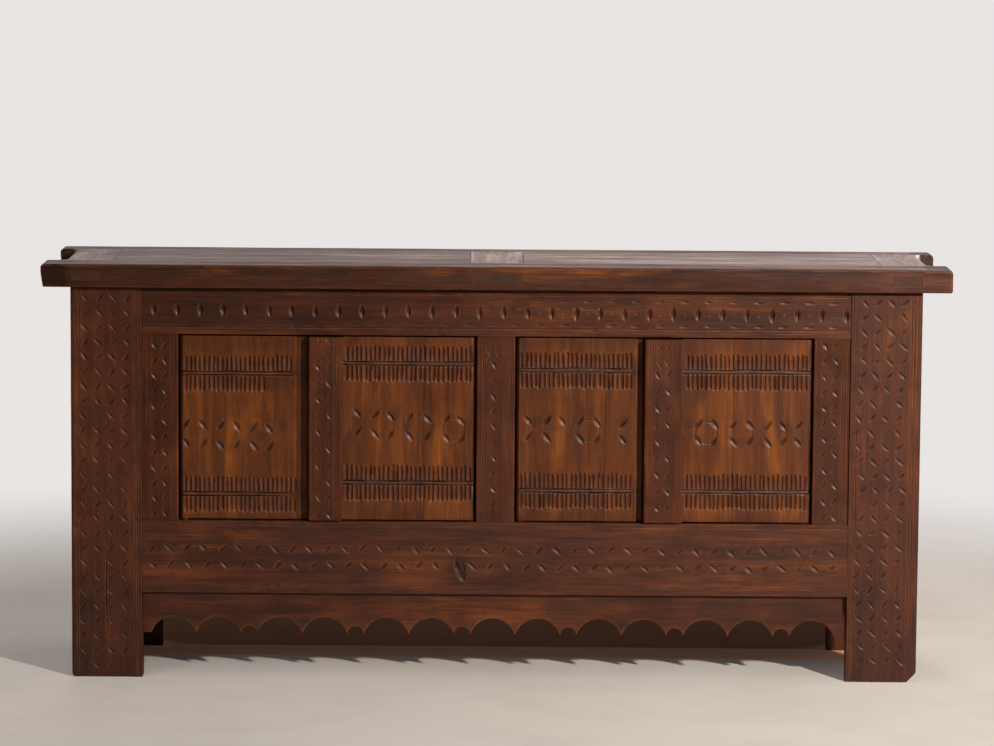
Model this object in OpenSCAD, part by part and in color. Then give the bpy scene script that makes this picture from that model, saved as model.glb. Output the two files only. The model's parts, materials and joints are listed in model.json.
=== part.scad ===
// Carved buffet cabinet: a long, shallow sideboard on broad plank legs, with two pairs of
// pivot-hung board doors, a scalloped apron and a framed top whose rails run out into horns.
// The front faces -Y, the floor is z = 0 and the origin lies under the middle of the top.
// All sizes are in millimetres.

/* [Heights] */
// Clear height from the floor to the feet of the apron
clear_under = 98; // [60:1:140]
// Height of the scalloped apron board
apron_h = 92; // [76:1:130]
// Height of the lower rail
lower_rail_h = 161; // [120:1:200]
// Height of the door openings
opening_h = 413; // [330:1:520]
// Height of the frieze rail
frieze_h = 104; // [80:1:140]
// Thickness of the top's frame
top_t = 51; // [45:1:60]

/* [Front widths] */
// Width of the front legs
leg_w = 156; // [130:1:200]
// Width of the outer stiles beside the legs
outer_stile_w = 80; // [60:1:110]
// Width of each door opening
opening_w = 656; // [560:1:760]
// Width of the stile between the two openings
middle_stile_w = 84; // [64:1:120]

/* [Depths] */
// Depth of the body, from the front of the front legs to the back of the rear legs
body_depth = 405; // [360:1:480]
// How far the top reaches past the front legs
front_overhang = 20; // [8:1:35]
// How far the top reaches past the rear legs
rear_overhang = 5; // [0:1:15]
// How far the horns of the top reach past the legs at each end
end_overhang = 63; // [30:1:90]

/* [Legs] */
// Thickness of the front leg planks
front_leg_t = 45; // [40:1:55]
// Radius of the front legs' rounded outer edge
arris_r = 7; // [3:0.5:12]
// Width of the rear legs
rear_leg_w = 170; // [130:1:200]
// Thickness of the rear leg planks
rear_leg_t = 32; // [30:1:40]
// Radius of the rounded bottom corner of the front left leg
foot_round = 10; // [4:1:20]
// Width and height of the worn bottom corner of the front right leg
foot_wear = 22; // [8:1:30]

/* [Front frame] */
// How far the frieze rail sits behind the face of the legs
frieze_set_back = 3; // [0:0.5:4]
// How far the lower rail sits behind the face of the legs
lower_set_back = 1; // [0:0.5:4]
// Thickness of the frieze rail and the lower rail
rail_t = 42; // [38:1:46]
// How far the stiles sit behind the face of the legs
stile_set_back = 5; // [2:0.5:8]
// Thickness of the stiles
stile_t = 36; // [30:1:40]

/* [Apron] */
// How far the apron sits behind the face of the legs
apron_set_back = 14; // [8:1:17]
// Thickness of the apron
apron_t = 22; // [16:1:24]
// Open gap between the apron's right end and the right leg
apron_end_gap = 8; // [0:1:12]
// Length of the straight foot at each end of the apron
apron_foot = 18; // [10:1:30]
// Height of the large arches
big_arch_h = 36; // [24:1:44]
// Width of the small arches between pairs of large ones
small_arch_w = 36; // [26:1:44]
// Height of the small arches
small_arch_h = 17; // [8:1:17]
// Pairs of large arches along the apron, before the last large arch
arch_pairs = 6; // [5:1:7]
// Flat width left on each cusp
cusp_w = 2; // [1:0.5:4]

/* [Doors] */
// How far the leaves sit behind the face of the legs
leaf_set_back = 13; // [10:0.5:15]
// Thickness of the leaves
leaf_t = 22; // [20:1:24]
// Gap between a leaf and the stile that it is hung beside
hinge_gap = 3; // [2:0.5:5]
// Gap between the two leaves of a pair
meeting_gap = 3; // [2:0.5:5]
// Gap over a leaf
top_gap = 4; // [2:0.5:6]
// Gap under a leaf
bottom_gap = 3; // [2:0.5:5]
// Width of leaf 1, the left leaf of the left pair
leaf_1_w = 280; // [240:1:320]
// Width of leaf 3, the left leaf of the right pair
leaf_3_w = 278; // [262:1:320]
// Width of the hinge-side board of leaf 1
hinge_board_1_w = 97; // [80:1:150]
// Width of the hinge-side board of leaf 2
hinge_board_2_w = 113; // [80:1:150]
// Width of the hinge-side board of leaf 3
hinge_board_3_w = 195; // [140:1:205]
// Width of the hinge-side board of leaf 4
hinge_board_4_w = 172; // [80:1:200]
// Seam between the boards of a leaf
leaf_seam = 0.4; // [0:0.1:0.8]
// Width of the cover strip on leaf 2
astragal_2_w = 74; // [56:1:90]
// Width of the cover strip on leaf 4
astragal_4_w = 84; // [56:1:90]
// Thickness of the cover strips
astragal_t = 20; // [14:1:24]
// Diameter of the wooden pivots
pivot_d = 16; // [12:1:18]
// Radial clearance of the pivots in their sockets
pivot_gap = 0.05; // [0.03:0.01:0.09]
// Depth of the sockets in the frieze rail
upper_socket_depth = 22; // [16:1:30]
// Depth of the sockets in the lower rail
lower_socket_depth = 10; // [8:1:16]
// Free height over the upper pivots, which lets a leaf be lifted out
lift_out = 4; // [2:0.5:6]

/* [Battens] */
// Width of the battens across the backs of the leaves
batten_w = 46; // [36:1:60]
// Thickness of the battens
batten_t = 16; // [12:1:20]
// Distance from a leaf's end to the batten's near edge
batten_end = 52; // [40:1:70]
// Distance from a leaf's side edges to the batten's ends
batten_side = 22; // [16:1:34]
// Diameter of the nails in the battens
nail_d = 4; // [3:0.5:5]
// Diameter of the nail heads
nail_head_d = 9; // [7:0.5:11]
// Thickness of the nail heads
nail_head_t = 1.5; // [1:0.5:2.5]
// How far the nails run into the leaf boards
nail_hold = 14; // [8:1:16]

/* [Top] */
// Width of the top's front rail
top_front_rail_w = 97; // [80:1:120]
// Width of the top's rear rail
top_rear_rail_w = 65; // [50:1:90]
// Length of the horns past the end cleats
horn_l = 50; // [20:1:70]
// How much shorter the top's rear rail is at each end
rear_rail_less = 6; // [0:1:15]
// Width of the end cleats
cleat_w = 100; // [80:1:130]
// Radius of the hollow flare where a cleat meets the rails
flare_r = 24; // [8:1:36]
// Radius of the upper corner of the horns
horn_top_r = 10; // [4:1:14]
// Radius of the lower corner of the horns
horn_bottom_r = 6; // [3:1:10]
// Width of the cross rail in the middle of the top
middle_rail_w = 118; // [90:1:150]
// Thickness of the boards of the top
top_board_t = 22; // [18:1:26]
// Width of the front board of each bay
top_board_front_w = 140; // [100:1:170]
// Seam round the boards of the top
top_seam = 0.6; // [0.2:0.1:0.9]
// Thickness of the tenons through the top's rails
top_tenon_t = 22; // [16:1:24]
// Shoulder beside the end cleats' tenons
cleat_shoulder = 18; // [10:1:26]
// Shoulder beside the middle cross rail's tenons
middle_shoulder = 4; // [2:1:10]
// Diameter of the pegs in the top
top_peg_d = 10; // [6:1:12]

/* [Sides and back] */
// Thickness of the side rails
side_rail_t = 36; // [30:1:40]
// How far the side rails sit inside the outer edge of the legs
side_set_in = 6; // [2:1:12]
// Height of the lower side rails and the lower back rail
low_rail_h = 120; // [90:1:150]
// Thickness of the side boards
side_board_t = 16; // [12:1:18]
// Height of the lower side boards
side_board_low_h = 220; // [150:1:260]
// Thickness of the back rails
back_rail_t = 42; // [40:1:48]
// Width of the stile in the middle of the back
back_stile_w = 80; // [60:1:110]
// Thickness of the back boards
back_board_t = 14; // [10:1:16]
// Height of the lower back boards
back_board_low_h = 206; // [150:1:260]
// How far the side and back boards are housed in the legs and stile
housing = 8; // [5:1:10]

/* [Floor] */
// Thickness of the floor boards
floor_t = 18; // [14:1:24]
// Width of the front floor board
floor_front_w = 165; // [130:1:190]
// Seam between the floor boards
floor_seam = 0.5; // [0:0.1:0.9]
// Width of the bearers under the floor
bearer_w = 44; // [30:1:60]
// Height of the bearers under the floor
bearer_h = 30; // [22:1:40]
// Gap between the closed leaves and the floor's lip that stops them
stop_gap = 0.5; // [0.3:0.1:0.9]

/* [Joinery] */
// Length of the rails' tenons in the legs
rail_tenon_l = 60; // [40:1:64]
// Thickness of the tenons in the frame
tenon_t = 14; // [10:1:16]
// Shoulder above and below the rails' tenons
rail_shoulder = 16; // [10:1:22]
// Length of the stub tenons on the stiles and side rails
stub_tenon_l = 24; // [16:1:30]
// Shoulder beside the stiles' tenons
stile_shoulder = 18; // [14:1:22]
// Length of the stub tenons on the tops of the legs
leg_tenon_l = 10; // [6:1:10]
// Thickness of the tongues on the apron and the top boards
tongue_t = 8; // [6:1:10]
// Length of the tongues on the apron and the top boards
tongue_l = 8; // [5:1:10]
// Clearance round a tenon, tongue or housed board
joint_gap = 0.2; // [0.1:0.05:0.4]
// Diameter of the pegs in the frame
peg_d = 8; // [6:1:10]
// Wood left between a peg's end and the face of the leg
peg_stop = 7; // [5:1:12]
// Radial clearance of pegs and nails in their holes
peg_gap = 0.1; // [0.05:0.05:0.2]

/* [Hidden] */
$fn = 64;

// How far a cutting shape runs past the face that it opens, or a joined shape into its neighbour
past = 1;

// Colours
frame_wood = [0.27, 0.14, 0.10];
door_wood = [0.42, 0.24, 0.12];
top_wood = [0.42, 0.36, 0.33];
hidden_wood = [0.50, 0.38, 0.27];
peg_wood = [0.20, 0.12, 0.08];
iron = [0.20, 0.19, 0.18];

// Heights of the joints between the parts, from the floor up
lower_rail_z = clear_under + apron_h;
opening_z = lower_rail_z + lower_rail_h;
frieze_z = opening_z + opening_h;
top_z = frieze_z + frieze_h;
height = top_z + top_t;

// Distances from the middle of the front
stile_x = middle_stile_w / 2;
jamb_x = stile_x + opening_w;
leg_x0 = jamb_x + outer_stile_w;
leg_x1 = leg_x0 + leg_w;
top_x = leg_x1 + end_overhang;

// Depths, from the front of the top to its back
depth = front_overhang + body_depth + rear_overhang;
top_y0 = -depth / 2;
top_y1 = depth / 2;
face_y = top_y0 + front_overhang;
leg_y1 = face_y + front_leg_t;
rear_y1 = top_y1 - rear_overhang;
rear_y0 = rear_y1 - rear_leg_t;
rear_x0 = leg_x1 - rear_leg_w;
frieze_y0 = face_y + frieze_set_back;
lower_y0 = face_y + lower_set_back;
stile_y0 = face_y + stile_set_back;
apron_y0 = face_y + apron_set_back;
back_rail_y0 = rear_y1 - back_rail_t;

// Doors: the pivots stand in the middle of the leaf's thickness, half a thickness in from its edge
leaf_y0 = face_y + leaf_set_back;
leaf_y1 = leaf_y0 + leaf_t;
pivot_y = leaf_y0 + leaf_t / 2;
pivot_in = hinge_gap + leaf_t / 2;
pivot_x = [-jamb_x + pivot_in, -stile_x - pivot_in, stile_x + pivot_in, jamb_x - pivot_in];
leaf_z0 = opening_z + bottom_gap;
leaf_z1 = frieze_z - top_gap;
pair_w = opening_w - 2 * hinge_gap - meeting_gap;
leaf_w = [leaf_1_w, pair_w - leaf_1_w, leaf_3_w, pair_w - leaf_3_w];
hinge_board_w = [hinge_board_1_w, hinge_board_2_w, hinge_board_3_w, hinge_board_4_w];
// +1 where a leaf runs from its pivot towards +X, -1 where it runs the other way
swing = [1, -1, 1, -1];

// Top
cleat_x1 = top_x - horn_l;
cleat_x0 = cleat_x1 - cleat_w;
bay_x0 = middle_rail_w / 2;
bay_y0 = top_y0 + top_front_rail_w;
bay_y1 = top_y1 - top_rear_rail_w;
top_seam_y = bay_y0 + top_board_front_w;
top_tenon_z0 = top_z + (top_t - top_tenon_t) / 2;
top_tenon_z1 = top_tenon_z0 + top_tenon_t;
tongue_z0 = height - (top_board_t + tongue_t) / 2;
tongue_z1 = tongue_z0 + tongue_t;

// Sides and floor
side_x1 = leg_x1 - side_set_in;
side_x0 = side_x1 - side_rail_t;
side_board_x0 = side_x0 + (side_rail_t - side_board_t) / 2;
side_board_x1 = side_board_x0 + side_board_t;
low_rail_z = opening_z - low_rail_h;
back_board_y0 = rear_y0 + (rear_leg_t - back_board_t) / 2;
back_board_y1 = back_board_y0 + back_board_t;
floor_y0 = max(leg_y1, frieze_y0 + rail_t, lower_y0 + rail_t, stile_y0 + stile_t) + stop_gap;
floor_lip_y0 = leaf_y1 + stop_gap;
floor_seam_y = floor_y0 + floor_front_w;

// A box is written [x0, x1, y0, y1, z0, z1]; bar() draws it
module bar(b) {
    translate([b[0], b[2], b[4]]) cube([b[1] - b[0], b[3] - b[2], b[5] - b[4]]);
}

// The same box with clearance all round, which cuts the mortise or groove for it
function eased(b) = [
    b[0] - joint_gap, b[1] + joint_gap, b[2] - joint_gap,
    b[3] + joint_gap, b[4] - joint_gap, b[5] + joint_gap
];

// Draws its children and their mirror image across the middle of the cabinet
module both_sides() {
    children();
    mirror([1, 0, 0]) children();
}

// Draws the right-hand piece on the side that is asked for
module on_side(side) {
    if (side == "left") mirror([1, 0, 0]) children();
    else children();
}

// The part of a square corner outside a quarter circle, seen with the circle's centre at the origin
module corner_waste(r) {
    difference() {
        square(r + past);
        circle(r);
    }
}

// A level hole along Y from y0 to y1
module hole_y(x, y0, y1, z, d) {
    translate([x, y0, z]) rotate([-90, 0, 0]) cylinder(h = y1 - y0, d = d);
}

// Tenons of the frame, all drawn for the right-hand side
function mid(y0, t) = [y0 + (t - tenon_t) / 2, y0 + (t + tenon_t) / 2];
frieze_mid = mid(frieze_y0, rail_t);
lower_mid = mid(lower_y0, rail_t);
stile_mid = mid(stile_y0, stile_t);
back_mid = mid(rear_y0, rear_leg_t);
frieze_tenon = [leg_x0 - past, leg_x0 + rail_tenon_l, frieze_mid[0], frieze_mid[1],
    frieze_z + rail_shoulder, top_z - rail_shoulder];
lower_tenon = [leg_x0 - past, leg_x0 + rail_tenon_l, lower_mid[0], lower_mid[1],
    lower_rail_z + rail_shoulder, opening_z - rail_shoulder];
function stile_tenon(x0, x1) = [x0 + stile_shoulder, x1 - stile_shoulder, stile_mid[0], stile_mid[1],
    opening_z - stub_tenon_l, frieze_z + stub_tenon_l];
outer_stile_tenon = stile_tenon(jamb_x, leg_x0);
middle_stile_tenon = stile_tenon(-stile_x, stile_x);
back_stile_tenon = [-back_stile_w / 2 + stile_shoulder, back_stile_w / 2 - stile_shoulder,
    back_mid[0], back_mid[1], opening_z - stub_tenon_l, frieze_z + stub_tenon_l];

// Side rails run between the front and rear legs, with a stub tenon in each
side_mid_x = (side_x0 + side_x1) / 2;
rear_stub_l = rear_leg_t / 2;
function side_tenon(z0, z1) = [side_mid_x - tenon_t / 2, side_mid_x + tenon_t / 2,
    leg_y1 - stub_tenon_l, rear_y0 + rear_stub_l, z0 + rail_shoulder, z1 - rail_shoulder];
side_upper_tenon = side_tenon(frieze_z, top_z);
side_lower_tenon = side_tenon(low_rail_z, opening_z);

// Back rails run between the rear legs
function back_tenon(z0, z1) = [rear_x0 - past, rear_x0 + rail_tenon_l, back_mid[0], back_mid[1],
    z0 + rail_shoulder, z1 - rail_shoulder];
back_upper_tenon = back_tenon(frieze_z, top_z);
back_lower_tenon = back_tenon(low_rail_z, opening_z);

// Boards housed between legs and stiles
function side_board(z0, z1) = [side_board_x0, side_board_x1, leg_y1 - housing, rear_y0 + housing, z0, z1];
function back_board(z0, z1) = [back_stile_w / 2 - housing, rear_x0 + housing,
    back_board_y0, back_board_y1, z0, z1];

// Pegs: two in each tenon of the long rails, a quarter of the tenon's height from its edges
function tenon_peg_z(t) = [t[4] + (t[5] - t[4]) / 4, t[5] - (t[5] - t[4]) / 4];
front_peg_x = leg_x0 + rail_tenon_l / 2;
rear_peg_x = rear_x0 + rail_tenon_l / 2;
front_peg_z = concat(tenon_peg_z(frieze_tenon), tenon_peg_z(lower_tenon));
rear_peg_z = concat(tenon_peg_z(back_upper_tenon), tenon_peg_z(back_lower_tenon));

// Pegs, or with clearance their holes, in the right-hand front leg, driven from its back
module front_leg_pegs(clearance = 0, extra = 0) {
    for (z = front_peg_z)
        hole_y(front_peg_x, face_y + peg_stop, leg_y1 + extra, z, peg_d + 2 * clearance);
}

// Pegs, or with clearance their holes, in the right-hand rear leg, driven from the back
module rear_leg_pegs(clearance = 0, extra = 0) {
    for (z = rear_peg_z)
        hole_y(rear_peg_x, rear_y0 + peg_stop, rear_y1 + extra, z, peg_d + 2 * clearance);
}

// Stub tenons that hold the top down on the legs
front_leg_tenon = [leg_x0 + stile_shoulder, leg_x1 - stile_shoulder,
    (face_y + leg_y1 - tenon_t) / 2, (face_y + leg_y1 + tenon_t) / 2, top_z - past, top_z + leg_tenon_l];
rear_leg_tenon = [rear_x0 + stile_shoulder, leg_x1 - stile_shoulder,
    back_mid[0], back_mid[1], top_z - past, top_z + leg_tenon_l];

// Front right leg, before its foot is shaped
module front_leg() {
    difference() {
        union() {
            linear_extrude(top_z) difference() {
                translate([leg_x0, face_y]) square([leg_w, front_leg_t]);
                translate([leg_x1 - arris_r, face_y + arris_r]) rotate(-90) corner_waste(arris_r);
            }
            bar(front_leg_tenon);
        }
        bar(eased(frieze_tenon));
        bar(eased(lower_tenon));
        bar(eased(side_upper_tenon));
        bar(eased(side_lower_tenon));
        bar(eased(side_board(opening_z, frieze_z)));
        front_leg_pegs(peg_gap, past);
    }
}

// Outer stile, middle stile and back stile share one form: a plank with a tenon at each end
module stile(x0, x1, y0, t, tenon) {
    bar([x0, x1, y0, y0 + t, opening_z, frieze_z]);
    bar(tenon);
}

// Front legs
module front_left_leg() {
    color(frame_wood) mirror([1, 0, 0]) difference() {
        front_leg();
        translate([leg_x1 - foot_round, leg_y1 + past, foot_round]) rotate([90, 0, 0])
            linear_extrude(front_leg_t + 2 * past) rotate(-90) corner_waste(foot_round);
    }
}

module front_right_leg() {
    color(frame_wood) difference() {
        front_leg();
        translate([leg_x1, leg_y1 + past, 0]) rotate([90, 0, 0])
            linear_extrude(front_leg_t + 2 * past)
                polygon([[-foot_wear, 0], [-foot_wear, -past], [past, -past], [past, foot_wear], [0, foot_wear]]);
    }
}

// Rear legs, broad thin planks that stand near the wall
module rear_leg() {
    color(frame_wood) difference() {
        union() {
            bar([rear_x0, leg_x1, rear_y0, rear_y1, 0, top_z]);
            bar(rear_leg_tenon);
        }
        bar(eased(side_upper_tenon));
        bar(eased(side_lower_tenon));
        bar(eased(side_board(opening_z, frieze_z)));
        bar(eased(back_upper_tenon));
        bar(eased(back_lower_tenon));
        bar(eased(back_board(opening_z, frieze_z)));
        rear_leg_pegs(peg_gap, past);
    }
}

module rear_left_leg() { mirror([1, 0, 0]) rear_leg(); }
module rear_right_leg() { rear_leg(); }

// Sockets for the door pivots, from z0 up to z1
module pivot_sockets(z0, z1) {
    for (x = pivot_x)
        translate([x, pivot_y, z0]) cylinder(h = z1 - z0, r = pivot_d / 2 + pivot_gap);
}

// Frieze rail over the doors
module frieze_rail() {
    color(frame_wood) difference() {
        union() {
            bar([-leg_x0, leg_x0, frieze_y0, frieze_y0 + rail_t, frieze_z, top_z]);
            both_sides() bar(frieze_tenon);
        }
        both_sides() bar(eased(outer_stile_tenon));
        bar(eased(middle_stile_tenon));
        both_sides() front_leg_pegs(peg_gap, past);
        pivot_sockets(frieze_z - past, frieze_z + upper_socket_depth);
    }
}

// Lower rail under the doors
apron_tongue = [-leg_x0, leg_x0 - apron_end_gap, apron_y0 + (apron_t - tongue_t) / 2,
    apron_y0 + (apron_t + tongue_t) / 2, lower_rail_z - past, lower_rail_z + tongue_l];
middle_bearer_tenon = [-bearer_w / 2, bearer_w / 2, lower_y0 + rail_t - housing, back_rail_y0 + housing,
    opening_z - bearer_h, opening_z - bearer_h / 3];

module lower_rail() {
    color(frame_wood) difference() {
        union() {
            bar([-leg_x0, leg_x0, lower_y0, lower_y0 + rail_t, lower_rail_z, opening_z]);
            both_sides() bar(lower_tenon);
        }
        both_sides() bar(eased(outer_stile_tenon));
        bar(eased(middle_stile_tenon));
        bar(eased(middle_bearer_tenon));
        both_sides() front_leg_pegs(peg_gap, past);
        pivot_sockets(opening_z - lower_socket_depth, opening_z + past);
        bar(eased(apron_tongue));
    }
}

// Apron: pairs of large arches with a small arch after each pair, and one large arch at the end
apron_l = 2 * leg_x0 - apron_end_gap;
big_arches = 2 * arch_pairs + 1;
big_arch_w = (apron_l - 2 * apron_foot - arch_pairs * small_arch_w) / big_arches;

// Circle segment over a span of width w that rises h, drawn from x = 0
module arch(w, h) {
    span = w - cusp_w;
    r = (span * span / 4 + h * h) / (2 * h);
    translate([w / 2, h - r]) circle(r);
}

module apron() {
    color(frame_wood) {
        translate([-leg_x0, apron_y0 + apron_t, clear_under]) rotate([90, 0, 0])
            linear_extrude(apron_t) difference() {
                square([apron_l, apron_h]);
                for (i = [0:arch_pairs]) translate([apron_foot + i * (2 * big_arch_w + small_arch_w), 0]) {
                    arch(big_arch_w, big_arch_h);
                    if (i < arch_pairs) {
                        translate([big_arch_w, 0]) arch(big_arch_w, big_arch_h);
                        translate([2 * big_arch_w, 0]) arch(small_arch_w, small_arch_h);
                    }
                }
            }
        bar(apron_tongue);
    }
}

// Stiles of the front
module outer_stile() { color(frame_wood) stile(jamb_x, leg_x0, stile_y0, stile_t, outer_stile_tenon); }
module left_outer_stile() { mirror([1, 0, 0]) outer_stile(); }
module right_outer_stile() { outer_stile(); }
module middle_stile() {
    color(frame_wood) stile(-stile_x, stile_x, stile_y0, stile_t, middle_stile_tenon);
}

// Side rails
module side_rail(side, z0, z1, tenon) {
    color(frame_wood) on_side(side) {
        bar([side_x0, side_x1, leg_y1, rear_y0, z0, z1]);
        bar(tenon);
    }
}
module left_side_upper_rail() { side_rail("left", frieze_z, top_z, side_upper_tenon); }
module left_side_lower_rail() { side_rail("left", low_rail_z, opening_z, side_lower_tenon); }
module right_side_upper_rail() { side_rail("right", frieze_z, top_z, side_upper_tenon); }
module right_side_lower_rail() { side_rail("right", low_rail_z, opening_z, side_lower_tenon); }

// Side boards, two on each side
side_seam_z = opening_z + side_board_low_h;
module side_plank(side, z0, z1) { color(hidden_wood) on_side(side) bar(side_board(z0, z1)); }
module left_side_upper_board() { side_plank("left", side_seam_z, frieze_z); }
module left_side_lower_board() { side_plank("left", opening_z, side_seam_z); }
module right_side_upper_board() { side_plank("right", side_seam_z, frieze_z); }
module right_side_lower_board() { side_plank("right", opening_z, side_seam_z); }

// Back rails and stile
module back_rail(z0, z1, tenon) {
    bar([-rear_x0, rear_x0, back_rail_y0, rear_y1, z0, z1]);
    both_sides() bar(tenon);
}
module back_upper_rail() {
    color(hidden_wood) difference() {
        back_rail(frieze_z, top_z, back_upper_tenon);
        bar(eased(back_stile_tenon));
        both_sides() rear_leg_pegs(peg_gap, past);
    }
}
module back_lower_rail() {
    color(hidden_wood) difference() {
        back_rail(low_rail_z, opening_z, back_lower_tenon);
        bar(eased(back_stile_tenon));
        bar(eased(middle_bearer_tenon));
        both_sides() rear_leg_pegs(peg_gap, past);
    }
}
module back_stile() {
    color(hidden_wood) difference() {
        stile(-back_stile_w / 2, back_stile_w / 2, rear_y0, rear_leg_t, back_stile_tenon);
        both_sides() bar(eased(back_board(opening_z, frieze_z)));
    }
}

// Back boards, two in each bay
back_seam_z = opening_z + back_board_low_h;
module back_plank(side, z0, z1) { color(hidden_wood) on_side(side) bar(back_board(z0, z1)); }
module back_left_upper_board() { back_plank("left", back_seam_z, frieze_z); }
module back_left_lower_board() { back_plank("left", opening_z, back_seam_z); }
module back_right_upper_board() { back_plank("right", back_seam_z, frieze_z); }
module back_right_lower_board() { back_plank("right", opening_z, back_seam_z); }

// Floor: bearers along the lower side rails and across the middle, and two long boards on them.
// The front board has a lip behind each pair of doors, which stops the leaves.
module side_bearer(side) {
    color(hidden_wood) on_side(side)
        bar([side_x0 - bearer_w, side_x0, leg_y1, rear_y0, opening_z - bearer_h, opening_z]);
}
module floor_left_bearer() { side_bearer("left"); }
module floor_right_bearer() { side_bearer("right"); }
module floor_middle_bearer() {
    color(hidden_wood) {
        bar([-bearer_w / 2, bearer_w / 2, lower_y0 + rail_t, back_rail_y0, opening_z - bearer_h, opening_z]);
        bar(middle_bearer_tenon);
    }
}
module floor_front_board() {
    color(hidden_wood) {
        bar([-side_x0, side_x0, floor_y0, floor_seam_y, opening_z, opening_z + floor_t]);
        both_sides() bar([stile_x + hinge_gap, jamb_x - hinge_gap, floor_lip_y0, floor_y0 + past,
            opening_z, opening_z + floor_t]);
    }
}
module floor_rear_board() {
    color(hidden_wood)
        bar([-side_x0, side_x0, floor_seam_y + floor_seam, rear_y0, opening_z, opening_z + floor_t]);
}

// Top frame: tenons of the cleats and the middle rail run right through the long rails
function cross_tenon(x0, x1, shoulder) = [x0 + shoulder, x1 - shoulder, top_y0, top_y1,
    top_tenon_z0, top_tenon_z1];
cleat_tenon = cross_tenon(cleat_x0, cleat_x1, cleat_shoulder);
middle_tenon = cross_tenon(-bay_x0, bay_x0, middle_shoulder);
// Groove for the tongues of the boards, all round the right-hand bay
bay_groove = [bay_x0 - tongue_l, cleat_x0 + tongue_l, bay_y0 - tongue_l, bay_y1 + tongue_l,
    tongue_z0, tongue_z1];

// Pegs, or with clearance their holes, down through the tenons of the top
top_peg_spots = [for (x = [-(cleat_x0 + cleat_x1) / 2, 0, (cleat_x0 + cleat_x1) / 2])
    for (y = [(top_y0 + bay_y0) / 2, (bay_y1 + top_y1) / 2]) [x, y]];
module top_peg_set(clearance = 0, extra = 0) {
    for (p = top_peg_spots)
        translate([p[0], p[1], top_tenon_z0])
            cylinder(h = height + extra - top_tenon_z0, d = top_peg_d + 2 * clearance);
}

// A long rail of the top from y0 to y1, with rounded ends
module top_rail(y0, y1, reach) {
    translate([0, y1, 0]) rotate([90, 0, 0]) linear_extrude(y1 - y0) difference() {
        translate([-reach, top_z]) square([2 * reach, top_t]);
        both_sides_2d() {
            translate([reach - horn_top_r, height - horn_top_r]) corner_waste(horn_top_r);
            translate([reach - horn_bottom_r, top_z + horn_bottom_r]) rotate(-90) corner_waste(horn_bottom_r);
        }
    }
}
module both_sides_2d() {
    children();
    mirror([1, 0]) children();
}
module top_rail_cuts() {
    both_sides() bar(eased(cleat_tenon));
    bar(eased(middle_tenon));
    both_sides() bar(eased(bay_groove));
    top_peg_set(peg_gap, past);
}

module top_front_rail() {
    color(top_wood) difference() {
        top_rail(top_y0, bay_y0, top_x);
        top_rail_cuts();
        both_sides() bar(eased(front_leg_tenon));
    }
}
module top_rear_rail() {
    color(top_wood) difference() {
        top_rail(bay_y1, top_y1, top_x - rear_rail_less);
        top_rail_cuts();
        both_sides() bar(eased(rear_leg_tenon));
    }
}

// End cleat, flared in a hollow curve towards both rails
module cleat() {
    color(top_wood) difference() {
        union() {
            translate([0, 0, top_z]) linear_extrude(top_t) {
                translate([cleat_x0, bay_y0]) square([cleat_w, bay_y1 - bay_y0]);
                flare(bay_y0, 1);
                flare(bay_y1, -1);
            }
            bar(cleat_tenon);
        }
        bar(eased(bay_groove));
        top_peg_set(peg_gap, past);
    }
}
// Corner piece between the cleat's outer edge and the rail edge at y; way is the side it opens to
module flare(y, way) {
    difference() {
        translate([cleat_x1 - past, way > 0 ? y : y - flare_r]) square([flare_r + past, flare_r]);
        translate([cleat_x1 + flare_r, y + way * flare_r]) circle(flare_r);
    }
}
module top_left_cleat() { mirror([1, 0, 0]) cleat(); }
module top_right_cleat() { cleat(); }

module top_middle_rail() {
    color(top_wood) difference() {
        union() {
            bar([-bay_x0, bay_x0, bay_y0, bay_y1, top_z, height]);
            bar(middle_tenon);
        }
        both_sides() bar(eased(bay_groove));
        top_peg_set(peg_gap, past);
    }
}

// Boards of the top, with tongues along the edges that meet the frame
module top_board(side, y0, y1, tongue_y0, tongue_y1) {
    color(top_wood) on_side(side) {
        bar([bay_x0 + top_seam, cleat_x0 - top_seam, y0, y1, height - top_board_t, height]);
        bar([bay_x0 - tongue_l, cleat_x0 + tongue_l, tongue_y0, tongue_y1, tongue_z0, tongue_z1]);
    }
}
module top_front_plank(side) {
    top_board(side, bay_y0 + top_seam, top_seam_y, bay_y0 - tongue_l, top_seam_y);
}
module top_rear_plank(side) {
    top_board(side, top_seam_y + top_seam, bay_y1 - top_seam, top_seam_y + top_seam, bay_y1 + tongue_l);
}
module top_left_front_board() { top_front_plank("left"); }
module top_left_rear_board() { top_rear_plank("left"); }
module top_right_front_board() { top_front_plank("right"); }
module top_right_rear_board() { top_rear_plank("right"); }

// Pegs
module frame_pegs() {
    color(peg_wood) both_sides() {
        front_leg_pegs();
        rear_leg_pegs();
    }
}
module top_pegs() { color(peg_wood) top_peg_set(); }

// Doors. Each leaf is drawn with its pivot axis on the Z axis, running towards +X, and then put
// in place: leaves 2 and 4 are mirrored. Along X, a leaf starts half a thickness before its pivot.
edge_in = leaf_t / 2;
module place_leaf(i) {
    translate([pivot_x[i], pivot_y, 0]) scale_x(swing[i]) children();
}
module scale_x(way) {
    if (way < 0) mirror([1, 0, 0]) children();
    else children();
}
function leaf_end(i) = leaf_w[i] - edge_in;
function board_seam(i) = hinge_board_w[i] - edge_in;

// Nail spots of one leaf, as [x, z]: two in each board at each batten
function batten_z(k) = k == 0 ? leaf_z0 + batten_end : leaf_z1 - batten_end - batten_w;
function batten_nails(i) = [for (k = [0, 1])
    for (x = [batten_side - edge_in + nail_head_d, board_seam(i) - 2 * nail_head_d,
        board_seam(i) + 2 * nail_head_d, leaf_end(i) - batten_side - nail_head_d])
    [x, batten_z(k) + batten_w / 2]];
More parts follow.
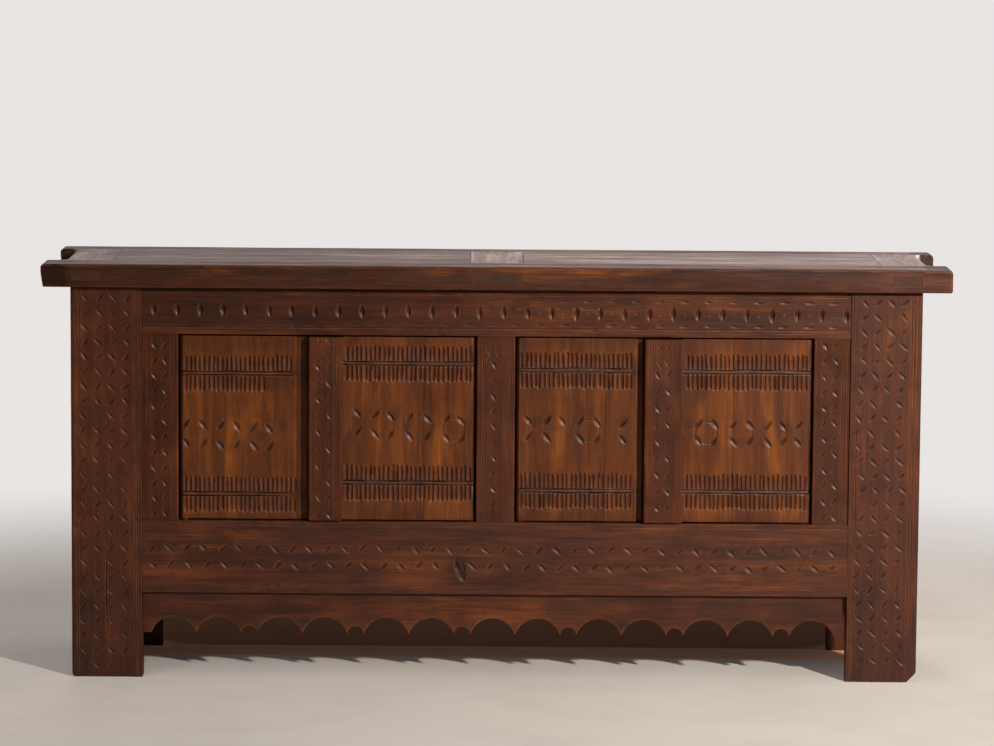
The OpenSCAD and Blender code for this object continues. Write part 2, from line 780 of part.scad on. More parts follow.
// Nails, or with clearance their holes, from the batten's back into the leaf
module nail_set(i, clearance = 0, extra = 0) {
    for (p = batten_nails(i))
        hole_y(p[0], edge_in - nail_hold - extra, edge_in + batten_t + extra, p[1], nail_d + 2 * clearance);
}
// Nails, or with clearance their holes, from the back of the leaf into the cover strip
astragal_w = [0, astragal_2_w, 0, astragal_4_w];
between_z0 = batten_z(0) + batten_w;
between_h = batten_z(1) - between_z0;
function astragal_nails(i) = astragal_w[i] > 0 ? [for (k = [0:2])
    [leaf_end(i) - astragal_w[i] / 2, between_z0 + (k + 0.5) * between_h / 3]] : [];
module astragal_nail_set(i, clearance = 0, extra = 0) {
    for (p = astragal_nails(i))
        hole_y(p[0], -edge_in - nail_hold - extra, edge_in + extra, p[1], nail_d + 2 * clearance);
}
module nail_holes(i) {
    nail_set(i, peg_gap, peg_gap);
    astragal_nail_set(i, peg_gap, peg_gap);
}

module hinge_board(i) {
    color(door_wood) place_leaf(i) difference() {
        union() {
            translate([0, 0, leaf_z0]) linear_extrude(leaf_z1 - leaf_z0) {
                circle(edge_in);
                translate([0, -edge_in]) square([board_seam(i), leaf_t]);
            }
            translate([0, 0, opening_z - lower_socket_depth])
                cylinder(h = frieze_z + upper_socket_depth - lift_out - opening_z + lower_socket_depth,
                    d = pivot_d);
        }
        nail_holes(i);
    }
}
module meeting_board(i) {
    color(door_wood) place_leaf(i) difference() {
        bar([board_seam(i) + leaf_seam, leaf_end(i), -edge_in, edge_in, leaf_z0, leaf_z1]);
        nail_holes(i);
    }
}
module battens(i) {
    color(hidden_wood) place_leaf(i) difference() {
        for (k = [0, 1])
            bar([batten_side - edge_in, leaf_end(i) - batten_side, edge_in, edge_in + batten_t,
                batten_z(k), batten_z(k) + batten_w]);
        nail_holes(i);
    }
}
module nails(i) {
    color(iron) place_leaf(i) {
        nail_set(i);
        for (p = batten_nails(i))
            hole_y(p[0], edge_in + batten_t, edge_in + batten_t + nail_head_t, p[1], nail_head_d);
        astragal_nail_set(i);
        for (p = astragal_nails(i))
            hole_y(p[0], edge_in, edge_in + nail_head_t, p[1], nail_head_d);
    }
}
module astragal(i) {
    color(frame_wood) place_leaf(i) difference() {
        bar([leaf_end(i) - astragal_w[i], leaf_end(i), -edge_in - astragal_t, -edge_in, leaf_z0, leaf_z1]);
        nail_holes(i);
    }
}

module door_1_hinge_board() { hinge_board(0); }
module door_1_meeting_board() { meeting_board(0); }
module door_1_battens() { battens(0); }
module door_1_nails() { nails(0); }
module door_2_hinge_board() { hinge_board(1); }
module door_2_meeting_board() { meeting_board(1); }
module door_2_battens() { battens(1); }
module door_2_nails() { nails(1); }
module door_2_astragal() { astragal(1); }
module door_3_hinge_board() { hinge_board(2); }
module door_3_meeting_board() { meeting_board(2); }
module door_3_battens() { battens(2); }
module door_3_nails() { nails(2); }
module door_4_hinge_board() { hinge_board(3); }
module door_4_meeting_board() { meeting_board(3); }
module door_4_battens() { battens(3); }
module door_4_nails() { nails(3); }
module door_4_astragal() { astragal(3); }

front_left_leg();
front_right_leg();
rear_left_leg();
rear_right_leg();
frieze_rail();
lower_rail();
apron();
left_outer_stile();
right_outer_stile();
middle_stile();
left_side_upper_rail();
left_side_lower_rail();
right_side_upper_rail();
right_side_lower_rail();
left_side_upper_board();
left_side_lower_board();
right_side_upper_board();
right_side_lower_board();
back_upper_rail();
back_lower_rail();
back_stile();
back_left_upper_board();
back_left_lower_board();
back_right_upper_board();
back_right_lower_board();
floor_left_bearer();
floor_right_bearer();
floor_middle_bearer();
floor_front_board();
floor_rear_board();
top_front_rail();
top_rear_rail();
top_left_cleat();
top_right_cleat();
top_middle_rail();
top_left_front_board();
top_left_rear_board();
top_right_front_board();
top_right_rear_board();
frame_pegs();
top_pegs();
door_1_hinge_board();
door_1_meeting_board();
door_1_battens();
door_1_nails();
door_2_hinge_board();
door_2_meeting_board();
door_2_battens();
door_2_nails();
door_2_astragal();
door_3_hinge_board();
door_3_meeting_board();
door_3_battens();
door_3_nails();
door_4_hinge_board();
door_4_meeting_board();
door_4_battens();
door_4_nails();
door_4_astragal();
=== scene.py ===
"""Carved buffet cabinet: carved faces, waxed wood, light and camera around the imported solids."""

import json
import math

import bmesh
import bpy
import numpy as np
from mathutils import Matrix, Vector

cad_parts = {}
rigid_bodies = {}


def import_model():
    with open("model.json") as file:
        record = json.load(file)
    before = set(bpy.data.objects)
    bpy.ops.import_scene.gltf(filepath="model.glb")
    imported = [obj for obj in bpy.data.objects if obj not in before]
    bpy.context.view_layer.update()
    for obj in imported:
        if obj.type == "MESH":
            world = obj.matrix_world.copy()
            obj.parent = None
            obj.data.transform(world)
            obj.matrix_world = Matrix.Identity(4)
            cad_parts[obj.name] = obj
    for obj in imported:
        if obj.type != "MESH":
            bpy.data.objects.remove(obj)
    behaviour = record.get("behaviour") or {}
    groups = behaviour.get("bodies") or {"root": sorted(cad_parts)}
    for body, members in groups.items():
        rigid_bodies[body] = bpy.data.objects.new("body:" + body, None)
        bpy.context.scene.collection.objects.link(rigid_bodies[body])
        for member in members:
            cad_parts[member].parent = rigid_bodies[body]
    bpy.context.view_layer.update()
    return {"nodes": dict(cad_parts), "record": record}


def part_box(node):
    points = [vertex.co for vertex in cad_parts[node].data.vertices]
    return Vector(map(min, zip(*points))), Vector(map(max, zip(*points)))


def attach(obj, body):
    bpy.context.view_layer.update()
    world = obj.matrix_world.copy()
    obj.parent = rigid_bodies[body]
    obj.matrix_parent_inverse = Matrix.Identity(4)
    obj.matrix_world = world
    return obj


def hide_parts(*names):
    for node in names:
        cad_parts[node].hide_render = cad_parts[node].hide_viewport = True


bl_info = {
    "name": "Carved Buffet Cabinet",
    "version": (1, 0, 0),
    "blender": (4, 5, 0),
    "location": "View3D > Sidebar > Cabinet",
    "description": "Dresses a buffet cabinet with chip carving, waxed wood and a plain stage",
    "category": "Object",
}

for leftover in list(bpy.data.objects):
    bpy.data.objects.remove(leftover)
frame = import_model()
MM = 0.001

# The photograph's frame and the camera fitted to it
PHOTO_W = 994
FOCAL_PX = 4156.0
SENSOR_MM = 36.0
CAMERA_DISTANCE = 9.05
CAMERA_HEIGHT = 1.79
CAMERA_X = 0.002
CAMERA_PITCH = math.radians(6.97)
CAMERA_ROLL = math.radians(0.42)

# How far a cutting grid runs past the face that it cuts, and stands off in front of it
OVER = 1.5 * MM
STAND_OFF = 5 * MM

# Grid lines near both ends of a face, for its rounded edges, and where the even lines begin
END_LINES = np.array([0, 0.35, 0.8, 1.5, 2.6]) * MM
EVEN_FROM = 4 * MM

# How far behind a flat face a point may lie and still be on it, the deepest rebate included
REACH_IN = 13 * MM

# Attributes that the woods read: how much old dirt lies in the cuts at a point, with painted
# shade on the side of chips and gouge cuts that faces away from the light, how much it stands
# out as a crest that hands rub pale, how much of the old stain is on it, which round the
# leaves' combs is partly painted shade, and how much dark wax, which in places is painted
# shade. Cuts and crests count in full from these heights on.
CUT, CREST, STAIN, WAX_AND_SHADE = "cut", "crest", "stain", "wax_and_shade"
FULL_CUT = 2.4 * MM
FULL_CREST = 0.28 * MM

# Waves that make up a ripple, how unevenly edges are worn along their length, and how the
# place of a groove picks its random seed
WAVES = 7
EDGE_WEAR = 0.35
SEEDS_PER_METRE = 4000

# Points nearer than this are one, faces that turn less than this are one, and edges that
# turn more than this look sharp
MERGE = 0.001 * MM
FLAT_ANGLE = math.radians(0.05)
SHARP_ANGLE = math.radians(32)


def srgb(red, green, blue):
    """A colour given as 0 to 255 sRGB values, in Blender's linear values."""
    values = np.array([red, green, blue]) / 255
    linear = np.where(values <= 0.04045, values / 12.92, ((values + 0.055) / 1.055) ** 2.4)
    return tuple(float(v) for v in linear)


def box(node):
    """The lowest and highest corner of a node, as arrays."""
    low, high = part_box(node)
    return np.array(low), np.array(high)


def ripple(u, v, seed, wave):
    """Smooth noise from -1 to 1 over two coordinates.

    It is the mean of a few sine waves of random direction and phase, whose lengths lie
    between half and twice the given one, times a factor that brings its spread near 1.
    """
    draw = np.random.default_rng(seed)
    total = np.zeros(np.broadcast(u, v).shape)
    for _ in range(WAVES):
        angle = draw.uniform(0, 2 * math.pi)
        length = wave * 2 ** draw.uniform(-1, 1)
        phase = draw.uniform(0, 2 * math.pi)
        total += np.sin(2 * math.pi * (u * math.cos(angle) + v * math.sin(angle)) / length + phase)
    return np.clip(total / math.sqrt(WAVES), -1, 1)


def smooth_step(value):
    """0 below 0, 1 above 1, and an S-shaped rise between."""
    t = np.clip(value, 0, 1)
    return t * t * (3 - 2 * t)


# Faces of a board: the axes that run across it, the one that goes into it, and which way in is
FACES = {
    "front": (0, 2, 1, 1),
    "back": (0, 2, 1, -1),
    "left": (1, 2, 0, 1),
    "right": (1, 2, 0, -1),
    "top": (0, 1, 2, -1),
}


class Face:
    """One face of a board as a grid of points, with the depth that is cut away at each.

    u runs across the face and v along it, in the cabinet's own coordinates. step is the
    spacing of the grid in millimetres. All cuts are combined by taking the deepest. rub
    tells how pale its crests are rubbed.
    """

    def __init__(self, side, low, high, step, seed=0, rub=1.0):
        self.low, self.high, self.seed, self.rub = low, high, seed, rub
        self.axis_u, self.axis_v, self.axis_in, self.inward = FACES[side]
        self.plane = low[self.axis_in] if self.inward > 0 else high[self.axis_in]
        self.u = self.lines(low[self.axis_u], high[self.axis_u], step * MM)
        self.v = self.lines(low[self.axis_v], high[self.axis_v], step * MM)
        self.grid_u, self.grid_v = np.meshgrid(self.u, self.v, indexing="ij")
        self.cut, self.form, self.dirt, self.stain, self.wax_and_shade = np.zeros((5, *self.grid_u.shape))

    @staticmethod
    def lines(low, high, step):
        """Grid lines from low to high, closer together near both ends for the rounded edges."""
        count = max(2, int((high - low) / step))
        even = np.linspace(low + EVEN_FROM, high - EVEN_FROM, count)
        first, last = low + END_LINES, high - END_LINES[::-1]
        return np.concatenate([[low - OVER], first, even, last, [high + OVER]])

    def noise(self, seed, wave, wide=1.0, tall=1.0):
        """A ripple over the face; wide or tall above 1 makes its waves shorter that way."""
        return ripple(self.grid_u * wide, self.grid_v * tall, seed, wave)

    def deepen(self, cells, depth, dirt=1.0):
        """Cuts to a depth over a window of the grid, where it isn't already deeper.

        Old dirt lies in it, and painted shade where a caller raises the share: the given share,
        times how deep the cut is.
        """
        held = np.clip(depth / FULL_CUT, 0, 1) * dirt
        for field, value in ((self.cut, depth), (self.dirt, held)):
            np.maximum(field[cells], value, out=field[cells])

    def window(self, u0, u1, v0, v1):
        """The cells of the grid between two corners."""
        return slice(*np.searchsorted(self.u, [u0, u1])), slice(*np.searchsorted(self.v, [v0, v1]))

    def band(self, along_v, place, reach, start, end):
        """The window around a line along v or u, and its points' places across and along it."""
        if along_v:
            cells = self.window(place - reach, place + reach, start, end)
            return cells, self.grid_u[cells], self.grid_v[cells]
        cells = self.window(start, end, place - reach, place + reach)
        return cells, self.grid_v[cells], self.grid_u[cells]

    def lens(self, u, v, half_length, half_width, depth, lean):
        """A chip with a pointed oval outline and a V section, its long axis lean radians from v.

        With s along the chip and t across it, the cut is depth times
        1 - (s / half length) squared - |t| / half width, where that is above 0. Old dirt
        lies in it, and painted shade darkens the side where t is above 0, which faces away
        from the light; the side where t is below 0 is the cleaner one.
        """
        cells = self.window(u - half_length, u + half_length, v - half_length, v + half_length)
        du, dv = self.grid_u[cells] - u, self.grid_v[cells] - v
        s = dv * math.cos(lean) + du * math.sin(lean)
        t = du * math.cos(lean) - dv * math.sin(lean)
        # share: 0.55 of old dirt all over, and up to 0.45 more as painted shade where t is above 0
        self.deepen(cells, depth * (1 - (s / half_length) ** 2 - np.abs(t) / half_width),
                    0.55 + 0.45 * smooth_step(t / half_width * 3 + 0.5))

    def flute(self, u, v_line, v_end, half_width, depth, slant):
        """A gouge cut that starts at a line and ends in a round end.

        Across it the cut falls off with the square of the distance from its middle. Over the
        last stretch, as long as it is wide, its width shrinks as a half circle does. Painted
        shade lies along its right side, which faces away from the light, and in its round end.
        """
        low, high = min(v_line, v_end), max(v_line, v_end)
        cells = self.window(u - 3 * half_width, u + 3 * half_width, low, high)
        along = np.abs(self.grid_v[cells] - v_line)
        length = abs(v_end - v_line)
        end = np.clip((along - (length - 1.6 * half_width)) / (1.6 * half_width), 0, 1)
        width = half_width * np.sqrt(np.clip(1 - end ** 2, 1e-6, 1))
        across = self.grid_u[cells] - u - slant * along
        rise = 0.55 + 0.45 * smooth_step(along / (0.5 * length))
        self.deepen(cells, depth * rise * (1 - (across / width) ** 2), 0.1)
        inside = (np.abs(across) < width * 1.12) & (along <= length)
        # painted shade: darker along the right side and in the round end
        shade = smooth_step((across / width - 0.15) / 0.6) + 0.6 * smooth_step((end - 0.5) / 0.5)
        np.maximum(self.dirt[cells], np.clip(shade, 0, 1) * inside, out=self.dirt[cells])

    def ring(self, u, v, radius, half_width, depth):
        """A round line, drawn with a compass."""
        reach = radius + 2 * half_width
        cells = self.window(u - reach, u + reach, v - reach, v + reach)
        gap = np.hypot(self.grid_u[cells] - u, self.grid_v[cells] - v) - radius
        self.deepen(cells, depth * (1 - (gap / half_width) ** 2))

    def groove(self, along_v, place, start, end, half_width, depth, wander=0.35 * MM):
        """A round-bottomed line cut along v or u, which wanders as a hand-drawn one does."""
        cells, across, along = self.band(along_v, place, 3 * half_width, start, end)
        seed = self.seed + int(abs(place) * SEEDS_PER_METRE)
        middle = place + wander * ripple(along, 0, seed, 0.22)
        worn = 0.75 + 0.25 * ripple(along, 0, seed + 1, 0.09)
        self.deepen(cells, depth * worn * (1 - ((across - middle) / half_width) ** 2))

    def line(self, along_v, place, start, end, deep=1.0):
        """A groove as wide as the panel says, and as deep times a factor."""
        s = sizes()
        self.groove(along_v, place, start, end, s.line_width / 2, s.line_depth * deep)

    def crack(self, along_v, place, start, end, half_width, depth, wander):
        """A split along the grain: a narrow V that wanders and closes to nothing at both ends."""
        cells, across, along = self.band(along_v, place, wander + 2 * half_width, start, end)
        middle = place + wander * ripple(along, 0, self.seed + 5, 0.12)
        share = np.clip((along - start) / (end - start), 0, 1)
        width = half_width * np.sqrt(np.clip(4 * share * (1 - share), 1e-6, 1))
        self.deepen(cells, depth * (1 - np.abs(across - middle) / width))

    def finish(self, marks, along_v, edges, later=0):
        """Plane marks and rounded edges in millimetres; later shifts the marks' seed."""
        self.plane_marks(marks * MM, along_v, self.seed + later)
        self.round_edges([radius * MM for radius in edges])

    def plane_marks(self, depth, along_v, seed):
        """Shallow hollows of hand planing: long waves along the grain, short ones across it."""
        across, along = (self.grid_u, self.grid_v) if along_v else (self.grid_v, self.grid_u)
        waves = ripple(across, along * 0.12, seed, 0.03)
        waves += 0.5 * ripple(across, along, seed + 3, 0.16)
        self.form = np.maximum(self.form, depth * (0.5 + waves / 3))

    def round_edges(self, radii):
        """Quarter-round edges worn unevenly along their length: low u, high u, low v, high v.

        At a distance e inside an edge of radius r the cut is r - sqrt(r^2 - (r - e)^2).
        """
        edges = (
            (self.grid_u - self.low[self.axis_u], self.grid_v),
            (self.high[self.axis_u] - self.grid_u, self.grid_v),
            (self.grid_v - self.low[self.axis_v], self.grid_u),
            (self.high[self.axis_v] - self.grid_v, self.grid_u),
        )
        for number, (radius, (inside, along)) in enumerate(zip(radii, edges)):
            if radius <= 0:
                continue
            uneven = ripple(along, 0, self.seed + 11 * number, 0.07)
            worn = radius * (1 - EDGE_WEAR / 2 + EDGE_WEAR / 2 * uneven)
            gap = np.clip(worn - inside, 0, worn)
            arc = np.sqrt(np.clip(worn ** 2 - gap ** 2, 0, None))
            self.form = np.maximum(self.form, worn - arc)

    def depth(self):
        """How far the surface lies behind the flat face at each grid point."""
        return np.maximum(np.maximum(self.cut, self.form), 0)

    def crest(self):
        """How far each point stands out of its surroundings.

        It is the mean depth of the points around, weighted 1 4 6 4 1 both ways, less the
        point's own depth.
        """
        mean = self.depth()
        for axis in (0, 1):
            padded = np.pad(mean, [(2, 2) if axis == k else (0, 0) for k in (0, 1)], mode="edge")
            parts = [np.take(padded, np.arange(k, k + mean.shape[axis]), axis) for k in range(5)]
            mean = sum(weight * part for weight, part in zip((1, 4, 6, 4, 1), parts)) / 16
        return self.rub * (mean - self.depth())

    def cutter(self):
        """The closed solid in front of the cut surface, which is taken away from the board.

        Its back is the grid, pushed in by the depth at each point; its front is flat.
        """
        depth = self.depth()
        points, cap = np.zeros((depth.size, 3)), np.zeros((4, 3))
        points[:, self.axis_u] = self.grid_u.ravel()
        points[:, self.axis_v] = self.grid_v.ravel()
        points[:, self.axis_in] = self.plane + self.inward * depth.ravel()
        cap[:, self.axis_u] = self.u[[0, -1, -1, 0]]
        cap[:, self.axis_v] = self.v[[0, 0, -1, -1]]
        cap[:, self.axis_in] = self.plane - self.inward * STAND_OFF
        number = np.arange(depth.size).reshape(depth.shape)
        quads = np.stack([number[:-1, :-1], number[:-1, 1:], number[1:, 1:], number[1:, :-1]], -1)
        a, b, c, d = range(depth.size, depth.size + 4)
        faces = quads.reshape(-1, 4).tolist() + [[a, b, c, d]]
        for rim, corners in ((number[:, 0], [b, a]), (number[-1, :], [c, b]),
                             (number[::-1, -1], [d, c]), (number[0, ::-1], [a, d])):
            faces.append(rim.tolist() + corners)
        mesh = bpy.data.meshes.new("cutter")
        mesh.from_pydata(np.vstack([points, cap]).tolist(), [], faces)
        return rework(mesh, lambda work: bmesh.ops.recalc_face_normals(work, faces=work.faces))

    def sample(self, points, field):
        """A field of the grid read at any points, by straight lines between grid lines."""
        u, v = points[:, self.axis_u], points[:, self.axis_v]
        row = np.clip(np.searchsorted(self.u, u) - 1, 0, self.u.size - 2)
        column = np.clip(np.searchsorted(self.v, v) - 1, 0, self.v.size - 2)
        part_u = np.clip((u - self.u[row]) / (self.u[row + 1] - self.u[row]), 0, 1)
        part_v = np.clip((v - self.v[column]) / (self.v[column + 1] - self.v[column]), 0, 1)
        return (
            field[row, column] * (1 - part_u) * (1 - part_v)
            + field[row + 1, column] * part_u * (1 - part_v)
            + field[row, column + 1] * (1 - part_u) * part_v
            + field[row + 1, column + 1] * part_u * part_v
        )

    def near(self, points):
        """True at the points that lie on this face, cut or not."""
        depth = (points[:, self.axis_in] - self.plane) * self.inward
        return (depth > -0.1 * MM) & (depth < REACH_IN)


def rework(mesh, change):
    """A mesh after a change to its faces."""
    work = bmesh.new()
    work.from_mesh(mesh)
    change(work)
    work.to_mesh(mesh)
    work.free()
    return mesh


def solid_copy(node):
    """A node's solid as one closed mesh, its loose triangles merged and flat faces joined."""

    def close(work):
        bmesh.ops.remove_doubles(work, verts=work.verts, dist=MERGE)
        bmesh.ops.dissolve_limit(
            work, angle_limit=FLAT_ANGLE, use_dissolve_boundaries=False, verts=work.verts,
            edges=work.edges,
        )

    mesh = frame["nodes"][node].data.copy()
    mesh.materials.clear()
    return rework(mesh, close)


def place_object(name, data):
    """A new object in the scene."""
    item = bpy.data.objects.new(name, data)
    bpy.context.scene.collection.objects.link(item)
    return item


def subtract(mesh, cutter):
    """The first solid without what the second one covers."""
    target, tool = place_object("target", mesh), place_object("tool", cutter)
    change = target.modifiers.new("cut", "BOOLEAN")
    change.operation = "DIFFERENCE"
    change.solver = "MANIFOLD"
    change.object = tool
    graph = bpy.context.evaluated_depsgraph_get()
    result = bpy.data.meshes.new_from_object(target.evaluated_get(graph))
    for item in (target, tool):
        bpy.data.objects.remove(item)
    for used in (mesh, cutter):
        bpy.data.meshes.remove(used)
    return result


def body_of(node):
    """The moving body that a node belongs to."""
    groups = frame["record"]["behaviour"]["bodies"]
    return next(name for name, members in groups.items() if node in members)


def dress(node, faces, material, base_stain=0.0):
    """Cuts the faces into a copy of the node's solid, and puts the copy in the node's place."""
    mesh = solid_copy(node)
    for face in faces:
        mesh = subtract(mesh, face.cutter())
    points = np.zeros(len(mesh.vertices) * 3)
    mesh.vertices.foreach_get("co", points)
    points = points.reshape(-1, 3)
    values = {name: np.zeros(len(points)) for name in (CUT, CREST, STAIN, WAX_AND_SHADE)}
    values[STAIN] += base_stain
    for face in faces:
        on_face = face.near(points)
        crest = face.crest() / FULL_CREST
        for name, field in zip(values, (face.dirt, crest, face.stain, face.wax_and_shade)):
            values[name][on_face] = face.sample(points[on_face], field)
    for name, value in values.items():
        layer = mesh.attributes.new(name, "FLOAT", "POINT")
        layer.data.foreach_set("value", np.clip(value, 0, 1).astype(np.float32))
    mesh.shade_smooth()
    mesh.set_sharp_from_angle(angle=SHARP_ANGLE)
    mesh.materials.clear()
    mesh.materials.append(material)
    mesh.name = node + "_carved"
    piece = place_object(node + "_carved", mesh)
    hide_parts(node)
    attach(piece, body_of(node))


def paint(node, material):
    """Gives a CAD node its finish and leaves its shape alone."""
    item = frame["nodes"][node]
    item.data.materials.clear()
    item.data.materials.append(material)


class Value:
    """What one output of a node gives, which can be reckoned with like a number."""

    def __init__(self, nodes, socket):
        self.nodes, self.socket = nodes, socket

    def __add__(self, other):
        return self.nodes.math("ADD", self, other)

    def __sub__(self, other):
        return self.nodes.math("SUBTRACT", self, other)

    def __rsub__(self, other):
        return self.nodes.math("SUBTRACT", other, self)

    def __mul__(self, other):
        return self.nodes.math("MULTIPLY", self, other)

    def __abs__(self):
        return self.nodes.math("ABSOLUTE", self)

    def ramp(self, low, high, **more):
        """The value stretched so that low becomes 0 and high becomes 1."""
        return self.nodes.add("MapRange", "Result", Value=self, From_Min=low, From_Max=high, **more)

    def part(self, axis):
        """One coordinate of a place or a direction."""
        return self.nodes.add("SeparateXYZ", axis, Vector=self)


class Nodes:
    """Short ways to add and join the nodes of one tree."""

    def __init__(self, tree):
        self.tree = tree

    def put(self, socket, value):
        """Links a value to an input, or sets the input to a number, a place or a colour."""
        if isinstance(value, Value):
            self.tree.links.new(value.socket, socket)
        else:
            socket.default_value = (*value, 1) if socket.type == "RGBA" else value

    def feed(self, node, **settings):
        """Sets a node's own settings and its inputs, whose names have underscores for spaces."""
        for name, value in settings.items():
            if hasattr(node, name):
                setattr(node, name, value)
            else:
                self.put(node.inputs[name.replace("_", " ")], value)

    def add(self, kind, output, **settings):
        """What one output of a new node gives."""
        node = self.tree.nodes.new("ShaderNode" + kind)
        self.feed(node, **settings)
        return Value(self, node.outputs[output])

    def math(self, operation, first, second=0.0):
        """Two values joined by one sum."""
        result = self.add("Math", 0, operation=operation)
        for socket, value in zip(result.socket.node.inputs, (first, second)):
            self.put(socket, value)
        return result

    def mix(self, kind, factor, first, second):
        """Two colours mixed."""
        result = self.add("Mix", 2, data_type="RGBA", blend_type=kind)
        for number, value in ((0, factor), (6, first), (7, second)):
            self.put(result.socket.node.inputs[number], value)
        return result


class Material(Nodes):
    """The nodes of a new material."""

    def __init__(self, name):
        self.material = bpy.data.materials.new(name)
        self.material.use_nodes = True
        super().__init__(self.material.node_tree)

    def surface(self, **inputs):
        """Feeds the shader and gives the finished material."""
        self.feed(self.tree.nodes["Principled BSDF"], **inputs)
        return self.material


def wood(name, colours, grain_axis, offset, streaks=0.5, knots=0.0, roughness=0.4, ends=None,
         clouds=0.5, upward_grey_and_sheen=None):
    """Old waxed wood, with its grain along one axis.

    colours are the dark, middle and light tones of the bare wood, the tone of the old stain
    and the tone of rubbed edges. Long soft figure, fibres and fine pores come from three
    noises, each stretched further along the grain, and blotches of old wax from plain noise.
    Clouds the size of a hand turn the tone to orange or to plum. Cuts hold dark wax at their
    bottoms, with painted shade on the side that faces away from the light, and are polished;
    crests are rubbed pale, and end grain shows the two tones of ends instead of any figure.
    The wax attribute darkens with dark wax, and in places with painted shade. Faces that look
    up have the two upward tones, if given, a grey that is partly a painted sheen of a bright
    wall, where no wax or painted shade covers them.
    """
    dark, middle, light, stain, rubbed = colours
    m = Material(name)
    shift = [offset * part for part in (1.37, 2.11, 0.73)]
    turned = m.add("Mapping", "Vector", Vector=m.add("TexCoord", "Object"), Location=shift)

    def stretched(along, across):
        scale = [along if axis == grain_axis else across for axis in "XYZ"]
        return m.add("Mapping", "Vector", Vector=turned, Scale=scale)

    def noise(along, across, detail, rough, twist):
        return m.add("TexNoise", "Fac", Vector=stretched(along, across), Scale=1.0, Detail=detail,
                     Roughness=rough, Distortion=twist)

    figure = noise(2.0, 15.0, 5.0, 0.6, 0.9)
    fibre = noise(4.0, 88.0, 4.0, 0.62, 0.5)
    pores = noise(14.0, 330.0, 4.0, 0.7, 0.25).ramp(0.36, 0.62)
    blotch = noise(7.0, 7.0, 4.0, 0.6, 0.4)
    cloud = noise(6.0, 17.0, 4.0, 0.62, 0.7)
    grime = noise(46.0, 46.0, 5.0, 0.65, 0.0)
    cut, crest, old, wax_and_shade_amount = (
        m.add("Attribute", "Fac", attribute_name=key) for key in (CUT, CREST, STAIN, WAX_AND_SHADE)
    )
    facing = m.add("TexCoord", "Normal")

    base = m.mix("MIX", figure.ramp(0.22, 0.68), dark, middle)
    base = m.mix("MIX", figure.ramp(0.50, 0.72) * blotch.ramp(0.35, 0.62), base, light)
    worn = blotch.ramp(0.42, 0.70) * 0.32 + fibre.ramp(0.50, 0.70) * 0.30
    base = m.mix("MIX", old * (1.0 - worn), base, stain)
    if upward_grey_and_sheen:
        # upward faces greyer and paler: partly a painted sheen of a bright wall, kept off where wax
        # or painted shade lies
        up = facing.part("Z").ramp(0.75, 0.95) * (1.0 - wax_and_shade_amount)
        base = m.mix("MIX", up, base, m.mix("MIX", figure.ramp(0.3, 0.7), *upward_grey_and_sheen))
    tints = [
        (cloud.ramp(0.48, 0.66) * clouds, (1.34, 1.20, 0.80)),
        ((1.0 - cloud.ramp(0.34, 0.50)) * (clouds * 1.2), (0.78, 0.70, 0.84)),
        ((1.0 - blotch.ramp(0.28, 0.46)) * (0.17 + 0.5 * clouds), (0.44, 0.38, 0.40)),
        ((1.0 - fibre.ramp(0.33, 0.52)) * streaks, (0.46, 0.38, 0.36)),
        (fibre.ramp(0.55, 0.72) * (streaks * 0.8), (1.42, 1.34, 1.22)),
        ((1.0 - pores) * streaks, (0.36, 0.27, 0.24)),
        (grime.ramp(0.56, 0.70) * 0.35, (0.34, 0.28, 0.26)),
    ]
    if knots:
        knot = m.add("TexVoronoi", "Distance", Vector=stretched(4.0, 9.0), Scale=1.0,
                     Randomness=1.0)
        tints.append(((1.0 - knot.ramp(0.05, 0.16)) * knots, (0.16, 0.11, 0.09)))
    # dark wax, and painted shade where the wax attribute stands for it
    tints.append((wax_and_shade_amount * 0.85, (0.40, 0.36, 0.42)))
    for amount, tint in tints:
        base = m.mix("MULTIPLY", amount, base, tint)
    base = m.mix("MIX", crest * grime.ramp(0.34, 0.64) * 0.45, base, rubbed)
    # darker in cuts: old dirt, and painted shade on the side that faces away from the light
    base = m.mix("MULTIPLY", m.math("POWER", cut, 0.95) * 0.9, base, (0.22, 0.14, 0.12))
    end_tone = m.mix("MIX", grime.ramp(0.35, 0.65), *(ends or (dark, stain)))
    base = m.mix("MIX", abs(facing.part(grain_axis)).ramp(0.75, 0.92), base, end_tone)

    rough = blotch * 0.24 + (roughness - 0.12) + (1.0 - pores) * 0.14 - cut.ramp(0.05, 0.45) * 0.07
    if upward_grey_and_sheen:
        rough = rough + up * 0.18
    relief = pores * 0.5 + grime * 0.7 + fibre * 1.2
    lift = m.add("Bump", "Normal", Strength=0.5, Distance=0.5 * MM, Height=relief)
    return m.surface(Base_Color=base, Roughness=rough, Specular_IOR_Level=0.36, Normal=lift)


def black_iron(name):
    """Forged iron, blackened, with brown specks of rust in its hollows."""
    m = Material(name)
    place = m.add("TexCoord", "Object")
    pits = m.add("TexNoise", "Fac", Vector=place, Scale=260.0, Detail=5.0, Roughness=0.6)
    rust = pits.ramp(0.5, 0.66)
    tone = m.mix("MIX", rust, srgb(44, 42, 41), srgb(92, 58, 40))
    lift = m.add("Bump", "Normal", Strength=0.4, Distance=0.3 * MM, Height=pits)
    return m.surface(Base_Color=tone, Roughness=rust * 0.3 + 0.45, Metallic=0.85, Normal=lift)


def size(name, description, default, low, high):
    """A length that the panel shows, given in millimetres."""
    return bpy.props.FloatProperty(
        name=name, description=description, default=default * MM, min=low * MM, max=high * MM,
        unit="LENGTH", subtype="DISTANCE", precision=4,
    )


def colour(name, description, *default):
    """A colour that the panel shows, given as 0 to 255 sRGB values."""
    return bpy.props.FloatVectorProperty(
        name=name, description=description, default=srgb(*default), size=3, min=0, max=1,
        subtype="COLOR",
    )


